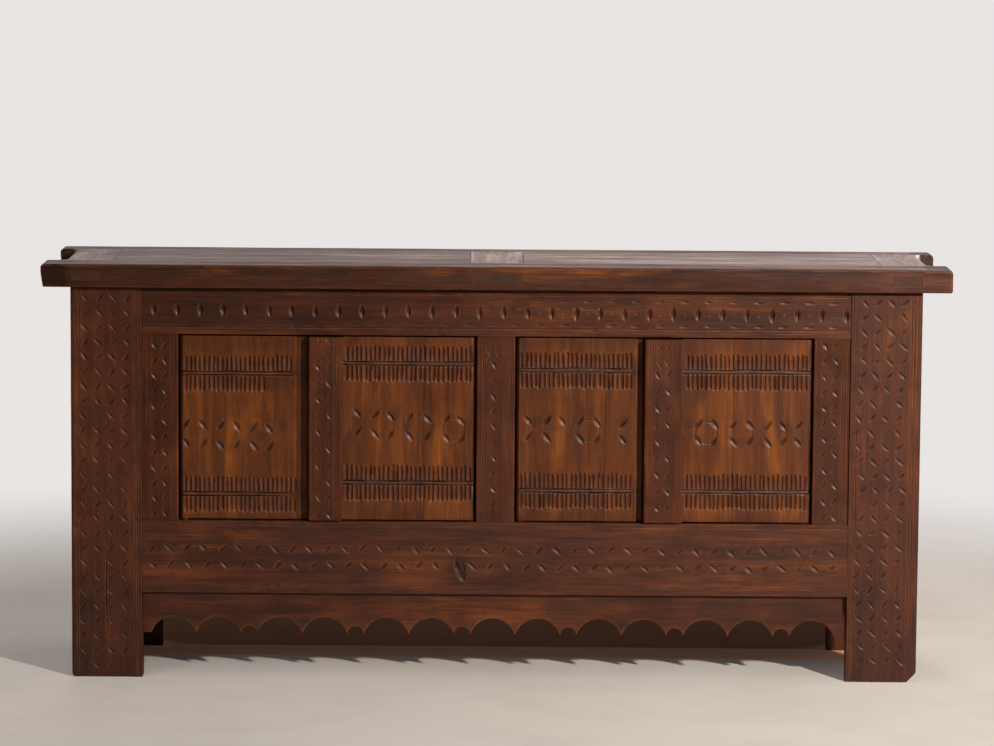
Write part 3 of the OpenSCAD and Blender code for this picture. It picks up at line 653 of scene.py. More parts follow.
class CarvingSizes(bpy.types.PropertyGroup):
    """Sizes of the cuts in the front of the cabinet."""

    chip_length: size("Chip length", "Length of a slanting chip", 26, 10, 40)
    chip_width: size("Chip width", "Width of a slanting chip", 9.6, 3, 15)
    chip_depth: size("Chip depth", "Depth of a slanting chip", 2.4, 1, 6)
    flute_pitch: size("Flute pitch", "Spacing of the leaves' gouge cuts", 10, 6, 20)
    flute_length: size("Flute length", "Length of the upright gouge cuts", 33, 15, 45)
    flute_depth: size("Flute depth", "Depth of the upright gouge cuts", 3.1, 0.5, 5)
    line_width: size("Line width", "Width of the lines drawn along the edges", 2.6, 1, 6)
    line_depth: size("Line depth", "Depth of the lines", 1.3, 0.3, 4)


class WoodColours(bpy.types.PropertyGroup):
    """Colours of the woods."""

    stain: colour("Old stain", "Red-brown stain of the frame", 84, 40, 17)
    rubbed: colour("Rubbed edges", "Tone of the edges that hands have rubbed", 150, 88, 44)
    frame_dark: colour("Frame, dark", "Darkest tone of the legs and rails", 60, 27, 9)
    frame_middle: colour("Frame, middle", "Middle tone of the legs and rails", 102, 50, 16)
    frame_light: colour("Frame, light", "Lightest tone of the legs and rails", 148, 79, 20)
    leaf_dark: colour("Leaves, dark", "Darkest tone of the leaves", 82, 40, 10)
    leaf_middle: colour("Leaves, middle", "Middle tone of the leaves", 118, 60, 11)
    leaf_light: colour("Leaves, light", "Lightest tone of the leaves", 152, 85, 18)
    # The top's greys are pale partly as a painted sheen: a reflection of a bright wall painted into
    # the colour.
    top_dark: colour("Top, dark", "Darkest tone of the top", 122, 101, 99)
    top_middle: colour("Top, middle", "Middle tone of the top", 206, 184, 181)
    top_light: colour("Top, light", "Lightest tone of the top", 248, 232, 229)
    inner_dark: colour("Inside, dark", "Darkest tone of the unstained boards", 104, 70, 52)
    inner_light: colour("Inside, light", "Lightest tone of the unstained boards", 160, 116, 88)


class StageSettings(bpy.types.PropertyGroup):
    """Floor and light."""

    floor: colour("Floor", "Colour of the floor", 242, 232, 223)
    backdrop: colour("Backdrop", "Colour that the floor takes on far away", 232, 228, 226)
    key_power: bpy.props.FloatProperty(
        name="Key power", description="Power of the lamp at the right", default=57.0, min=0,
        unit="POWER",
    )
    key_size: size("Key size", "Width of the lamp at the right", 300, 100, 4000)
    sky: bpy.props.FloatProperty(
        name="Sky", description="Strength of the light from all round", default=0.22, min=0
    )


def sizes():
    """The carving sizes of this scene."""
    return bpy.context.scene.cabinet_carving


def tones(*names):
    """Wood colours of this scene, by name."""
    return [tuple(getattr(bpy.context.scene.cabinet_woods, name)) for name in names]


def faded(tone, fade):
    """A tone made paler or darker by a factor, and no brighter than white."""
    return tuple(min(1.0, part * fade) for part in tone)


def frame_wood(name, axis, offset, **more):
    """Wood of the legs, rails and stiles."""
    colours = tones("frame_dark", "frame_middle", "frame_light", "stain", "rubbed")
    return wood(name, colours, axis, offset, **more)


def leaf_wood(name, offset, **more):
    """Wood of the door leaves, lighter and yellower than the frame."""
    colours = tones("leaf_dark", "leaf_middle", "leaf_light", "stain", "rubbed")
    return wood(name, colours, "Z", offset, **more)


def top_wood(name, axis, offset, fade, **more):
    """Wood of the top, dulled and greyed by use and made pale partly as a painted sheen of a bright
    wall; fade makes a board paler.
    """
    greys = tones("top_dark", "top_middle", "top_light")
    dark, middle, light = (faded(tone, fade) for tone in greys)
    return wood(name, (dark, middle, light, *tones("stain"), light), axis, offset, roughness=0.58,
                clouds=0.15, **more)


def inner_wood(name, axis, offset, fade=1.0, **more):
    """Unstained wood of the back, floor and battens; fade makes a board paler."""
    dark, light = (faded(tone, fade) for tone in tones("inner_dark", "inner_light"))
    middle = tuple((a + b) / 2 for a, b in zip(dark, light))
    return wood(name, (dark, middle, light, *tones("stain"), light), axis, offset, roughness=0.6,
                streaks=0.75, clouds=0.15, **more)


# The two front legs and what they frame
LEFT_LEG, RIGHT_LEG = box("front_left_leg"), box("front_right_leg")
FRIEZE, LOWER = box("frieze_rail"), box("lower_rail")
LEG_TOP = FRIEZE[1][2]
STILE_FOOT, STILE_HEAD = LOWER[1][2], FRIEZE[0][2]

# Slanting chips, by where they are: length, width and depth as shares of the panel's sizes, each
# with the factors between which it strays; then the lean and how far it strays, in degrees
CHIPS = {
    "leg": ((0.54, 0.85, 1.12), (0.54, 0.8, 1.15), (1.0, 0.8, 1.12), (42, 6.8755)),
    "rail": ((0.6, 0.85, 1.1), (0.62, 0.85, 1.15), (1.0, 0.95, 1.3), (46, 8)),
    "strip": ((0.46, 0.9, 1.15), (0.53, 0.9, 1.15), (0.98, 0.92, 1.1), (35, 4.5837)),
    "leaf": ((0.66, 0.9, 1.1), (0.78, 0.9, 1.1), (1.45, 0.9, 1.1), (38, 6)),
}


def cut_chip(face, draw, kind, u, v, sign, faint=1.0, slim=1.0):
    """Cuts a chip that leans right for sign 1 and left for -1; faint and slim make it less."""
    s = sizes()
    *spans, (lean, swing) = CHIPS[kind]
    length, width, depth = (
        full * share * draw.uniform(low, high)
        for full, (share, low, high) in zip((s.chip_length, s.chip_width, s.chip_depth), spans)
    )
    lean = sign * math.radians(lean + draw.uniform(-swing, swing))
    face.lens(u, v, length, width * slim, depth * faint, lean)


# Carving of each front leg: first chip column, spacing of the columns and of the rows in
# millimetres, rows at which the columns drift sideways and by how much, and the edge lines; then
# the side that shows, how round its foot is worn, the rounded edges of the front, how much
# darker the foot is painted, a painted shade, and the seed of its random draws. The carver
# missed the given share of chips.
MISSED = 0.04
LEGS = {
    "front_left_leg": dict(
        first=29, columns=30.7, rows=32.6, at=(0, 8, 25), drift=(5, -2, -4),
        lines=(14, 19, 140, 145, 150), side="left", foot=9, edges=(0, 2, 2.5, 1.5), wax_and_shade=0.9,
        seed=31,
    ),
    "front_right_leg": dict(
        first=25.5, columns=29.2, rows=31.8, at=(0, 4, 9, 13, 19, 24), drift=(4, 2, -9, 5, -7, 6),
        lines=(5, 10, 14, 133, 139, 146), side="right", foot=19, edges=(2, 0, 2.5, 1.5), wax_and_shade=0.5,
        seed=47,
    ),
}


def leg_chips(face, leg, left):
    """Four columns of slanting chips down a leg, leaning in turn one way and the other."""
    draw = np.random.default_rng(leg["seed"])
    for row in range(26):
        drift = np.interp(row, leg["at"], leg["drift"])
        for number in range(4):
            sign = 1 if (row + number) % 2 else -1
            if draw.uniform() < MISSED:
                continue
            across = leg["first"] + number * leg["columns"] + drift
            u = left + (across + draw.uniform(-1.3, 1.3)) * MM
            v = LEG_TOP - (25 + row * leg["rows"] + draw.uniform(-1.5, 1.5)) * MM
            cut_chip(face, draw, "leg", u, v, sign, 1.0 if sign < 0 else 0.85)


class CABINET_OT_front_legs(bpy.types.Operator):
    """Carve the two broad front legs"""

    bl_idname = "cabinet.front_legs"
    bl_label = "Front legs"

    def execute(self, context):
        for node, leg in LEGS.items():
            low, high = box(node)
            high[2], seed = LEG_TOP, leg["seed"]
            outer = Face(leg["side"], low, high, 5, seed + 5)
            outer.finish(0.5, True, (2, 0, leg["foot"], 0), 1)
            outer.stain[:] = 0.8
            face = Face("front", low, high, 1.26, seed)
            leg_chips(face, leg, low[0])
            for line in leg["lines"]:
                face.line(True, low[0] + line * MM, 6 * MM, LEG_TOP - 4 * MM)
            if leg["side"] == "left":
                face.crack(True, low[0] + 79 * MM, 82 * MM, 315 * MM, 1.3 * MM, 5 * MM, 2.5 * MM)
            face.stain[:] = 0.85 + 0.15 * face.noise(seed, 0.2)
            face.wax_and_shade[:] = np.clip(0.5 * face.noise(seed + 8, 0.12) - 0.1, 0, 1)
            # painted shade: darker towards the foot
            face.wax_and_shade += leg["wax_and_shade"] * smooth_step(1 - face.grid_v / (380 * MM))
            face.finish(0.5, True, leg["edges"], 2)
            dress(node, [outer, face], frame_wood(node + "_wood", "Z", seed, roughness=0.46), 0.8)
        return {"FINISHED"}


class CABINET_OT_front_rails(bpy.types.Operator):
    """Carve the frieze rail and the lower rail"""

    bl_idname = "cabinet.front_rails"
    bl_label = "Frieze and lower rail"

    def execute(self, context):
        self.frieze()
        self.lower()
        return {"FINISHED"}

    @staticmethod
    def frieze():
        """Thirty upright chips in a row, with small level chips between them above and below."""
        low, high = FRIEZE[0].copy(), FRIEZE[1].copy()
        low[0], high[0] = LEFT_LEG[1][0], RIGHT_LEG[0][0]
        face = Face("front", low, high, 1.65, 71)
        draw = np.random.default_rng(71)
        count, pitch, first, middle = 30, 52.34 * MM, -750 * MM, low[2] + 54.5 * MM
        for number in range(count):
            drift = -19 * MM * math.sin(math.pi * number / (count - 1))
            x = first + number * pitch + drift + draw.uniform(-1.2, 1.2) * MM
            sink = -4.5 * MM * number / (count - 1)
            face.lens(
                x, middle + sink + draw.uniform(-1.5, 1.5) * MM, 17 * MM * draw.uniform(0.88, 1.1),
                7.6 * MM * draw.uniform(0.85, 1.1), 3.5 * MM * draw.uniform(0.85, 1.1),
                draw.uniform(-0.08, 0.08),
            )
            strong = 0.35 + 0.65 * smooth_step((number - 6) / 16)
            for height, depth in ((80 * MM, 2.0 * MM), (27 * MM, 2.2 * MM)):
                face.lens(
                    x + pitch / 2 + draw.uniform(-2, 2) * MM, low[2] + height + sink / 2, 14 * MM,
                    4.8 * MM * draw.uniform(0.8, 1.1), depth * strong * draw.uniform(0.6, 1.1),
                    math.pi / 2 + draw.uniform(-0.08, 0.08),
                )
            if number > 15:
                place = middle + sink + draw.uniform(-3, 3) * MM
                face.lens(x + 0.52 * pitch, place, 2.6 * MM, 2.4 * MM, 2 * MM, 0)
        for height, deep in ((11, 0.8), (17, 1.5), (91, 0.9)):
            face.line(False, low[2] + height * MM, low[0] + 5 * MM, high[0] - 5 * MM, deep)
        face.crack(False, low[2] + 62 * MM, 17 * MM, 228 * MM, 0.9 * MM, 3 * MM, 2 * MM)
        band = smooth_step(1.6 - np.abs(face.grid_v - middle) / (17 * MM))
        bare = smooth_step((face.grid_u + 0.42) / 0.25) * (0.7 + 0.3 * face.noise(74, 0.3))
        bead = smooth_step((low[2] + 17 * MM - face.grid_v) / (3 * MM))
        face.stain[:] = 0.95 - 0.8 * band * bare - 0.45 * bead
        # painted shade: darker towards the left, away from the light
        face.wax_and_shade[:] = 0.5 * smooth_step((0.2 - face.grid_u) / 0.7) * (1 - 0.5 * bead)
        face.wax_and_shade += 0.25 * face.noise(75, 0.08, 0.4, 2)
        face.finish(0.5, False, (1, 1, 3, 1.5), 2)
        material = frame_wood("frieze_wood", "X", 3.1, streaks=0.65, knots=0.5)
        dress("frieze_rail", [face], material, 0.7)

    @staticmethod
    def lower():
        """Two rows of slanting chips, crosses and diamonds, and a knot torn out between them."""
        low, high = LOWER[0].copy(), LOWER[1].copy()
        low[0], high[0], low[2] = LEFT_LEG[1][0], RIGHT_LEG[0][0], box("apron")[1][2] - 8 * MM
        face = Face("front", low, high, 1.7, 83)
        draw = np.random.default_rng(83)
        pitch, first = 38.4 * MM, -759 * MM
        knot_u, knot_v = -78 * MM, high[2] - 107 * MM
        rows = (
            (100 * MM, (1, 7, 15, 21, 27, 31, 35, 39), (2, 5, 8, 9, 15, 14, 9, 3)),
            (62 * MM, (0, 4, 10, 16, 21, 26, 32, 38), (4, 10, 13, 15, 22, 15, 16, 6)),
        )
        for number in range(40):
            for row, (height, at, drift) in enumerate(rows):
                sign = -1 if (number + row) % 2 else 1
                aside = np.interp(number, at, drift) + draw.uniform(-1.5, 1.5)
                u = first + number * pitch + aside * MM
                v = high[2] - 161 * MM + height + draw.uniform(-2.5, 2.5) * MM
                if np.hypot(u - knot_u, v - knot_v) >= 24 * MM:
                    cut_chip(face, draw, "rail", u, v, sign, 1.0 if sign < 0 else 0.75)
        for right, up, length, width, lean in (
            (0, 0, 30, 10, -0.3), (6, -4, 27, 9, -0.38), (-5, 7, 18, 7, -0.22),
            (4, -13, 16, 8, -0.5), (10, 3, 24, 5, -0.3),
        ):
            place = knot_u + right * MM, knot_v + up * MM
            face.lens(*place, length * MM, width * MM, 3.2 * MM, lean)
        face.lens(664 * MM, high[2] - 119 * MM, 42 * MM, 2.4 * MM, 1.3 * MM, 0.9)
        for below in (9 * MM, 144 * MM):
            face.line(False, high[2] - below, low[0] + 3 * MM, high[0] - 3 * MM, 0.8)
        face.crack(False, high[2] - 55 * MM, -736 * MM, -560 * MM, 0.8 * MM, 2.4 * MM, 1.5 * MM)
        band = smooth_step(1.7 - np.abs(face.grid_v - high[2] + 80 * MM) / (30 * MM))
        patches = smooth_step(1.5 * face.noise(87, 0.05)) * smooth_step((face.grid_u + 0.3) / 0.6)
        face.stain[:] = 0.55 + 0.4 * face.noise(84, 0.5) - 0.5 * band * patches
        torn = np.hypot(face.grid_u - knot_u, (face.grid_v - knot_v) * 0.7)
        face.wax_and_shade[:] = 0.30 * face.noise(86, 0.07, 0.3, 1.6)
        # painted shade: darker towards the left, away from the light
        face.wax_and_shade += 0.25 * smooth_step((0.1 - face.grid_u) / 0.7)
        face.wax_and_shade += 0.7 * smooth_step(1.6 - torn / (22 * MM))
        face.finish(0.6, False, (1.2, 1.2, 3.5, 3), 2)
        material = frame_wood("lower_rail_wood", "X", 7.7, streaks=0.7, knots=0.4, roughness=0.46)
        dress("lower_rail", [face], material, 0.6)


# Carving of the upright strips, in millimetres in the cabinet's own places: chip columns, height
# of the first chip that leans left in the first column, row spacing, rows above it that are
# only scribed as lozenges, edge lines, the rounding of both edges, and how much the chips
# that lean right are worn away
STRIPS = {
    "left_outer_stile": dict(columns=(-751, -727.5), first=738.3, pitch=33.8, scribed=0,
                             lines=(-773, -765, -712, -705), edges=(2, 2.5), worn=0.9),
    "right_outer_stile": dict(columns=(721.6, 745.1), first=749.2, pitch=34.6, scribed=0,
                              lines=(705, 760.5, 766, 773), edges=(3, 2), worn=0.75),
    "middle_stile": dict(columns=(-5,), first=701.5, pitch=34.5, scribed=1,
                         lines=(-34, -28.5, -23, 27.5, 33), edges=(2, 3), worn=0.75),
    "door_2_astragal": dict(columns=(-390.7, -366.6), first=694.2, pitch=36.3, scribed=2,
                            lines=(-402, -354.5, -348), edges=(8, 3), worn=0.75),
    "door_4_astragal": dict(columns=(354.5, 377.5), first=682.3, pitch=36.9, scribed=2,
                            lines=(337.8, 343, 388.4), edges=(7, 3), worn=0.7),
}


def carve_strip(node, face, bottom):
    """Cuts the chips, lozenges and lines of an upright strip, and puts it in place."""
    strip = STRIPS[node]
    draw = np.random.default_rng(face.seed)
    first, pitch = strip["first"] * MM, strip["pitch"] * MM
    for row in range(int((first - bottom) / pitch) + 1):
        for number, column in enumerate(strip["columns"]):
            sign = 1 if (row + number) % 2 else -1
            quiet = strip["worn"] if sign > 0 else 1.0
            u = column * MM + draw.uniform(-1, 1) * MM
            v = first - row * pitch + draw.uniform(-1.6, 1.6) * MM
            cut_chip(face, draw, "strip", u, v, sign, quiet, quiet)
    middle = sum(strip["columns"]) / len(strip["columns"]) * MM
    for row in range(strip["scribed"]):
        for sign, side in ((-1, -1), (-1, 1), (1, -1), (1, 1)):
            face.lens(middle + side * 9 * MM, first + (row + 0.55) * pitch - side * sign * 3 * MM,
                      17 * MM, 2.2 * MM, 1.5 * MM * draw.uniform(0.6, 1.1),
                      sign * side * math.radians(34 + draw.uniform(-6, 6)))
    for line in strip["lines"]:
        start, end = face.low[2] + 3 * MM, face.high[2] - 3 * MM
        face.line(True, line * MM, start, end, draw.uniform(0.6, 1.0))
    face.finish(0.4, True, (*strip["edges"], 0.8, 0.8), 2)
    dress(node, [face], frame_wood(node + "_wood", "Z", face.seed * 0.37, roughness=0.37), 0.8)


class CABINET_OT_stiles(bpy.types.Operator):
    """Carve the outer stiles and the middle stile"""

    bl_idname = "cabinet.stiles"
    bl_label = "Stiles"

    def execute(self, context):
        for node, seed, wax_and_shade, edge, way in (
            ("left_outer_stile", 101, 0.42, -0.705, 1), ("middle_stile", 107, 0.05, 0.0335, 1),
            ("right_outer_stile", 103, 0.18, 0.709, -1),
        ):
            low, high = box(node)
            low[2], high[2] = STILE_FOOT, STILE_HEAD
            face = Face("front", low, high, 1.25, seed)
            bare = smooth_step((face.grid_u - edge) * way / (3 * MM))
            bare = bare * smooth_step((0.66 - face.grid_v) / 0.04)
            face.stain[:] = (0.85 + 0.15 * face.noise(seed, 0.2)) * (1 - 0.7 * bare)
            face.wax_and_shade[:] = wax_and_shade + 0.25 * face.noise(seed + 4, 0.1)
            carve_strip(node, face, STILE_FOOT + 10 * MM)
        return {"FINISHED"}


class CABINET_OT_apron(bpy.types.Operator):
    """Wear the edge of the scalloped apron"""

    bl_idname = "cabinet.apron"
    bl_label = "Apron"

    def execute(self, context):
        low, high = box("apron")
        high[2] = LOWER[0][2]
        face = Face("front", low, high, 2.2, 131, 0.4)
        self.wear_arches(face, low)
        face.stain[:] = 0.5 + 0.45 * face.noise(132, 0.4)
        face.wax_and_shade[:] = 0.25 + 0.3 * face.noise(134, 0.06, 0.3, 1.5)
        # painted shade: darker along the top, under the lower rail, and towards the left, away from
        # the light
        face.wax_and_shade += smooth_step(1 - (high[2] - face.grid_v) / (9 * MM))
        face.wax_and_shade += 0.2 * smooth_step(-face.grid_u / 0.7)
        face.finish(0.6, False, (1.5, 1.5, 2, 0.8), 2)
        dress("apron", [face], frame_wood("apron_wood", "X", 12.3, streaks=0.7, knots=0.5), 0.6)
        return {"FINISHED"}

    @staticmethod
    def wear_arches(face, low):
        """Rounds the arris along each arch: e is the distance outside the arch's circle."""
        foot, small_w, small_h, big_h, cusp, pairs = 18 * MM, 36 * MM, 17 * MM, 36 * MM, 2 * MM, 6
        length = face.high[0] - face.low[0]
        big_w = (length - 2 * foot - pairs * small_w) / (2 * pairs + 1)
        radius = 3 * MM
        for unit in range(pairs + 1):
            start = low[0] + foot + unit * (2 * big_w + small_w)
            second, third = start + big_w, start + 2 * big_w
            arches = ((start, big_w, big_h), (second, big_w, big_h), (third, small_w, small_h))
            for x, width, rise in arches[: 1 if unit == pairs else 3]:
                span = width - cusp
                circle = (span * span / 4 + rise * rise) / (2 * rise)
                foot_z, head_z = low[2] - OVER, low[2] + rise + 6 * MM
                cells = face.window(x - 4 * MM, x + width + 4 * MM, foot_z, head_z)
                across = face.grid_u[cells] - (x + width / 2)
                up = face.grid_v[cells] - (low[2] + rise - circle)
                gap = np.clip(radius - (np.hypot(across, up) - circle), 0, radius)
                depth = radius - np.sqrt(radius ** 2 - gap ** 2)
                np.maximum(face.form[cells], depth, out=face.form[cells])


# Carving of each leaf, in millimetres from the floor and from the leaf's left edge: heights of
# the upper and lower double lines; height and row spacing of the chips, their columns, the rise
# of the rows at the first and last column, and which way the chips of both rows lean, left or
# right (a dash is a gap); where the gouge cuts of the four rows start and end; compass-drawn
# rings, by column, with their depths; how much darker the whole leaf is made; and the width of
# the rebate at the right edge, if it has one
LEAVES = {
    "door_1": dict(
        upper=677, lower=409, chips=543, rows=41, columns=(13, 50, 89, 124, 162, 197), tilt=(1, -7),
        leans=("RLRLRL", "LRLRLR"), start=7, end=(245, 183, 247, 247), rings=(), shade=0.06,
        rebate=23,
    ),
    "door_2": dict(
        upper=701, lower=436.5, chips=565.6, rows=42, columns=(107, 147, 180, 222, 261, 303, 336),
        tilt=(4, -10), leans=("LRLRLRL", "RLRLRLR"), start=79, end=(362, 362, 362, 362),
        rings=((1.5, 0.7), (3.5, 0.6), (5.5, 1.3)), shade=0, rebate=0,
    ),
    "door_3": dict(
        upper=688.5, lower=421.4, chips=558.8, rows=36.5, columns=(27, 68, 101, 140, 178, 234),
        tilt=(2, -5), leans=("LRLRLR", "RL-LRL"), start=5, end=(250, 250, 250, 250),
        rings=((3.5, 1.1),), shade=0.12, rebate=13,
    ),
    "door_4": dict(
        upper=687, lower=421.3, chips=552, rows=36, columns=(120, 155, 196, 233, 272, 306, 339),
        tilt=(1, -1), leans=("RLRLRLR", "LRLRLRL"), start=89, end=(368, 368, 368, 368),
        rings=((0.5, 1.6), (2.5, 0.9)), shade=0.08, rebate=0,
    ),
}


class CABINET_OT_leaves(bpy.types.Operator):
    """Carve the boards of the four door leaves"""

    bl_idname = "cabinet.leaves"
    bl_label = "Door leaves"

    def execute(self, context):
        for number, (door, leaf) in enumerate(LEAVES.items()):
            hinge, meeting = box(f"{door}_hinge_board"), box(f"{door}_meeting_board")
            left, right = min(hinge[0][0], meeting[0][0]), max(hinge[1][0], meeting[1][0])
            z_low, z_high = meeting[0][2], meeting[1][2]
            for part, (low, high) in enumerate((hinge, meeting)):
                node = f"{door}_{('hinge', 'meeting')[part]}_board"
                low[2], high[2] = z_low, z_high
                seed = 211 + 10 * number + part
                face = Face("front", low, high, 1.46, seed)
                self.carve(face, leaf, left, right, 300 + number)
                face.finish(0.7, True, (1.2, 1.2, 1.8, 1.8))
                dress(node, [face], leaf_wood(node + "_wood", seed * 0.31, knots=0.45), 0.5)
        return {"FINISHED"}

    @staticmethod
    def carve(face, leaf, left, right, seed):
        """Combs of gouge cuts over and under two double lines, with crosses of chips between."""
        s = sizes()
        draw = np.random.default_rng(seed)
        upper, lower = leaf["upper"] * MM, leaf["lower"] * MM
        rows = ((upper, 1), (upper, -1), (lower, 1), (lower, -1))
        for (line, way), end in zip(rows, leaf["end"]):
            near = line + way * 6.2 * MM
            for x in np.arange(leaf["start"] * MM, end * MM, s.flute_pitch):
                face.flute(
                    left + x + s.flute_pitch / 2 + draw.uniform(-0.8, 0.8) * MM,
                    near,
                    near + way * (s.flute_length + draw.uniform(-2.5, 2.5) * MM),
                    s.flute_pitch * 0.44 * draw.uniform(0.85, 1.05),
                    s.flute_depth * draw.uniform(0.75, 1.1),
                    draw.uniform(-0.04, 0.04),
                )
        start, end = left + (leaf["start"] - 4) * MM, left + leaf["end"][0] * MM + 4 * MM
        for place in (upper - 4 * MM, upper + 4 * MM, lower - 4 * MM, lower + 4 * MM):
            face.groove(False, place, start, end, 2.0 * MM, 3.6 * MM, 0.6 * MM)
        columns, last = leaf["columns"], len(leaf["columns"]) - 1
        for row, leans in enumerate(leaf["leans"]):
            for number, (column, lean) in enumerate(zip(columns, leans)):
                if lean == "-":
                    continue
                rise = (0.5 - row) * leaf["rows"] + np.interp(number, (0, last), leaf["tilt"])
                u = left + (column + draw.uniform(-1, 1)) * MM
                v = (leaf["chips"] + rise + draw.uniform(-1.5, 1.5)) * MM
                sign, faint = (-1, 1.0) if lean == "L" else (1, 0.85)
                cut_chip(face, draw, "leaf", u, v, sign, faint)
        for place, depth in leaf["rings"]:
            column = np.interp(place, range(last + 1), columns)
            rise = np.interp(place, (0, last), leaf["tilt"])
            face.ring(left + column * MM, (leaf["chips"] + rise) * MM, 24 * MM, 2 * MM, depth * MM)
        reach = s.flute_length + 10 * MM
        z = face.grid_v + 4 * MM * face.noise(seed + 1, 0.08)
        comb = np.maximum(1 - np.abs(z - upper) / reach, 1 - np.abs(z - lower) / reach)
        head = smooth_step((z - upper - 30 * MM) / (40 * MM))
        foot = smooth_step((lower - 34 * MM - z) / (30 * MM))
        # Darker round the combs and at head and foot: old stain, and round the combs partly painted
        # shade of the gouge cuts.
        shade = np.maximum(smooth_step(comb * 2.2) * 0.8, np.maximum(head, foot) * 0.55)
        face.stain[:] = shade + 0.12 * face.noise(seed + 2, 0.1)
        beads = np.minimum(np.abs(z - upper), np.abs(z - lower))
        smudge = smooth_step(2.2 * face.noise(seed + 6, 0.07) - 0.9)
        between = smooth_step(1.5 - np.abs(face.grid_v - leaf["chips"] * MM) / (34 * MM))
        lined = smooth_step(1.6 - beads / (5 * MM))
        face.wax_and_shade[:] = 0.85 * lined + 0.5 * smudge * between + leaf["shade"]
        if leaf["rebate"]:
            step = smooth_step((face.grid_u - (right - leaf["rebate"] * MM)) / (1.2 * MM))
            face.form = np.maximum(face.form, 8 * MM * step)
            # painted shade: the rebate is darker where the next leaf's cover strip casts its shadow
            face.wax_and_shade = np.maximum(face.wax_and_shade, 0.4 * step)
            face.cut *= 1 - step
            face.dirt *= 1 - step


class CABINET_OT_cover_strips(bpy.types.Operator):
    """Carve the strips that cover the meeting edges"""

    bl_idname = "cabinet.cover_strips"
    bl_label = "Cover strips"

    def execute(self, context):
        for node, seed, bare, wax_and_shade in (
            ("door_2_astragal", 401, 0.3, 0.0), ("door_4_astragal", 409, 0.85, 0.16),
        ):
            low, high = box(node)
            face = Face("front", low, high, 1.25, seed)
            strip = smooth_step((face.grid_u - (high[0] - 17 * MM)) / (3 * MM))
            strip = strip * smooth_step((0.655 - face.grid_v) / 0.03)
            face.stain[:] = (0.85 + 0.15 * face.noise(seed, 0.2)) * (1 - bare * strip)
            # painted shade: darker along the rounded left edge, which faces away from the light
            face.wax_and_shade[:] = 0.4 * smooth_step(1 - (face.grid_u - low[0]) / (9 * MM))
            face.wax_and_shade += (wax_and_shade + 0.2 * face.noise(seed + 4, 0.1)) * (1 - strip)
            carve_strip(node, face, low[2] + 12 * MM)
        return {"FINISHED"}


# Where the horns of the top's rails begin, from the middle
HORN = 0.938


class CABINET_OT_top(bpy.types.Operator):
    """Plane and wear the framed top"""

    bl_idname = "cabinet.top"
    bl_label = "Top"

    def execute(self, context):
        self.rail("top_front_rail", 501, "front", (0, 0, 0, 1), 0.4)
        # The rear rail takes the old stain in full on its bare faces, so that its horn reads dark:
        # painted shade.
        self.rail("top_rear_rail", 503, "back", (0, 0, 1, 0), 1.0)
        # Fade above 1 makes the right cleat and the middle rail paler; on the right this is a
        # painted sheen of light on that half of the top.
        for node, seed, fade in (
            ("top_left_cleat", 507, 1.0), ("top_right_cleat", 511, 1.5),
            ("top_middle_rail", 513, 1.6),
        ):
            low, high = box(node)
            low[1], high[1] = box("top_front_rail")[1][1], box("top_rear_rail")[0][1]
            upper = Face("top", low, high, 4, seed)
            upper.finish(0.7, True, (1, 1, 0.8, 0.8))
            side = np.minimum(upper.grid_u - low[0], high[0] - upper.grid_u)
            upper.wax_and_shade[:] = 0.9 * smooth_step(1.5 - side / (2 * MM))
            dress(node, [upper], top_wood(node + "_wood", "Y", seed * 0.13, fade, streaks=0.35,
                                          ends=(srgb(78, 43, 24), srgb(56, 31, 18))))
        tongue = 8.6 * MM
        # The right-hand boards are paler, a painted sheen of light on that half of the top.
        for node, seed, fade in (
            ("top_left_front_board", 521, 1.0), ("top_left_rear_board", 523, 0.95),
            ("top_right_front_board", 527, 1.5), ("top_right_rear_board", 529, 1.4),
        ):
            low, high = box(node)
            low[0], high[0] = low[0] + tongue, high[0] - tongue
            if "front" in node:
                low[1] += tongue
            else:
                high[1] -= tongue
            upper = Face("top", low, high, 4, seed)
            upper.finish(0.6, False, (1, 1, 1, 1))
            dress(node, [upper], top_wood(node + "_wood", "X", seed * 0.17, fade, streaks=0.8,
                                          knots=0.5))
        return {"FINISHED"}

    @staticmethod
    def rail(node, seed, outer, inner_edge, base_stain):
        """A long rail, which keeps more of its old colour than the boards, with waxed horns."""
        low, high = box(node)
        edge = Face(outer, low, high, 3, seed)
        edge.finish(0.8, False, (5, 5, 3.5, 6))
        rise = (edge.grid_v - low[2]) / (high[2] - low[2])
        rise += 0.10 * ripple(edge.grid_u, 0, seed + 4, 0.6)
        lower_band, arris = smooth_step((0.45 - rise) / 0.2), smooth_step((rise - 0.78) / 0.1)
        edge.stain[:] = 0.15 + 0.75 * np.maximum(lower_band, arris)
        edge.wax_and_shade[:] = np.maximum(0.35 * arris, 0.95 * smooth_step((-HORN - edge.grid_u) / (4 * MM)))
        upper = Face("top", low, high, 4, seed + 1)
        upper.finish(0.7, False, inner_edge)
        upper.wax_and_shade[:] = 0.95 * smooth_step((-HORN - upper.grid_u) / (4 * MM))
        upper.wax_and_shade += 0.7 * smooth_step((upper.grid_u - HORN) / (4 * MM))
        ends = []
        for side, radius, wax_and_shade in (("left", 8, 0.9), ("right", 12, 0.3)):
            end = Face(side, low, high, 5, seed + 7)
            end.finish(0.8, True, (0, 0, 4, radius), 1)
            end.stain[:], end.wax_and_shade[:] = 0.9, wax_and_shade
            ends.append(end)
        ends[0].form += 5 * MM * smooth_step((high[2] - 12 * MM - ends[0].grid_v) / (45 * MM))
        colours = (srgb(50, 26, 14), srgb(96, 52, 23), srgb(148, 82, 30), *tones("stain", "rubbed"))
        material = wood(node + "_wood", colours, "X", seed * 0.19, streaks=0.85, knots=0.7,
                        upward_grey_and_sheen=tones("top_dark", "top_middle"))
        dress(node, [*ends, upper, edge], material, base_stain)


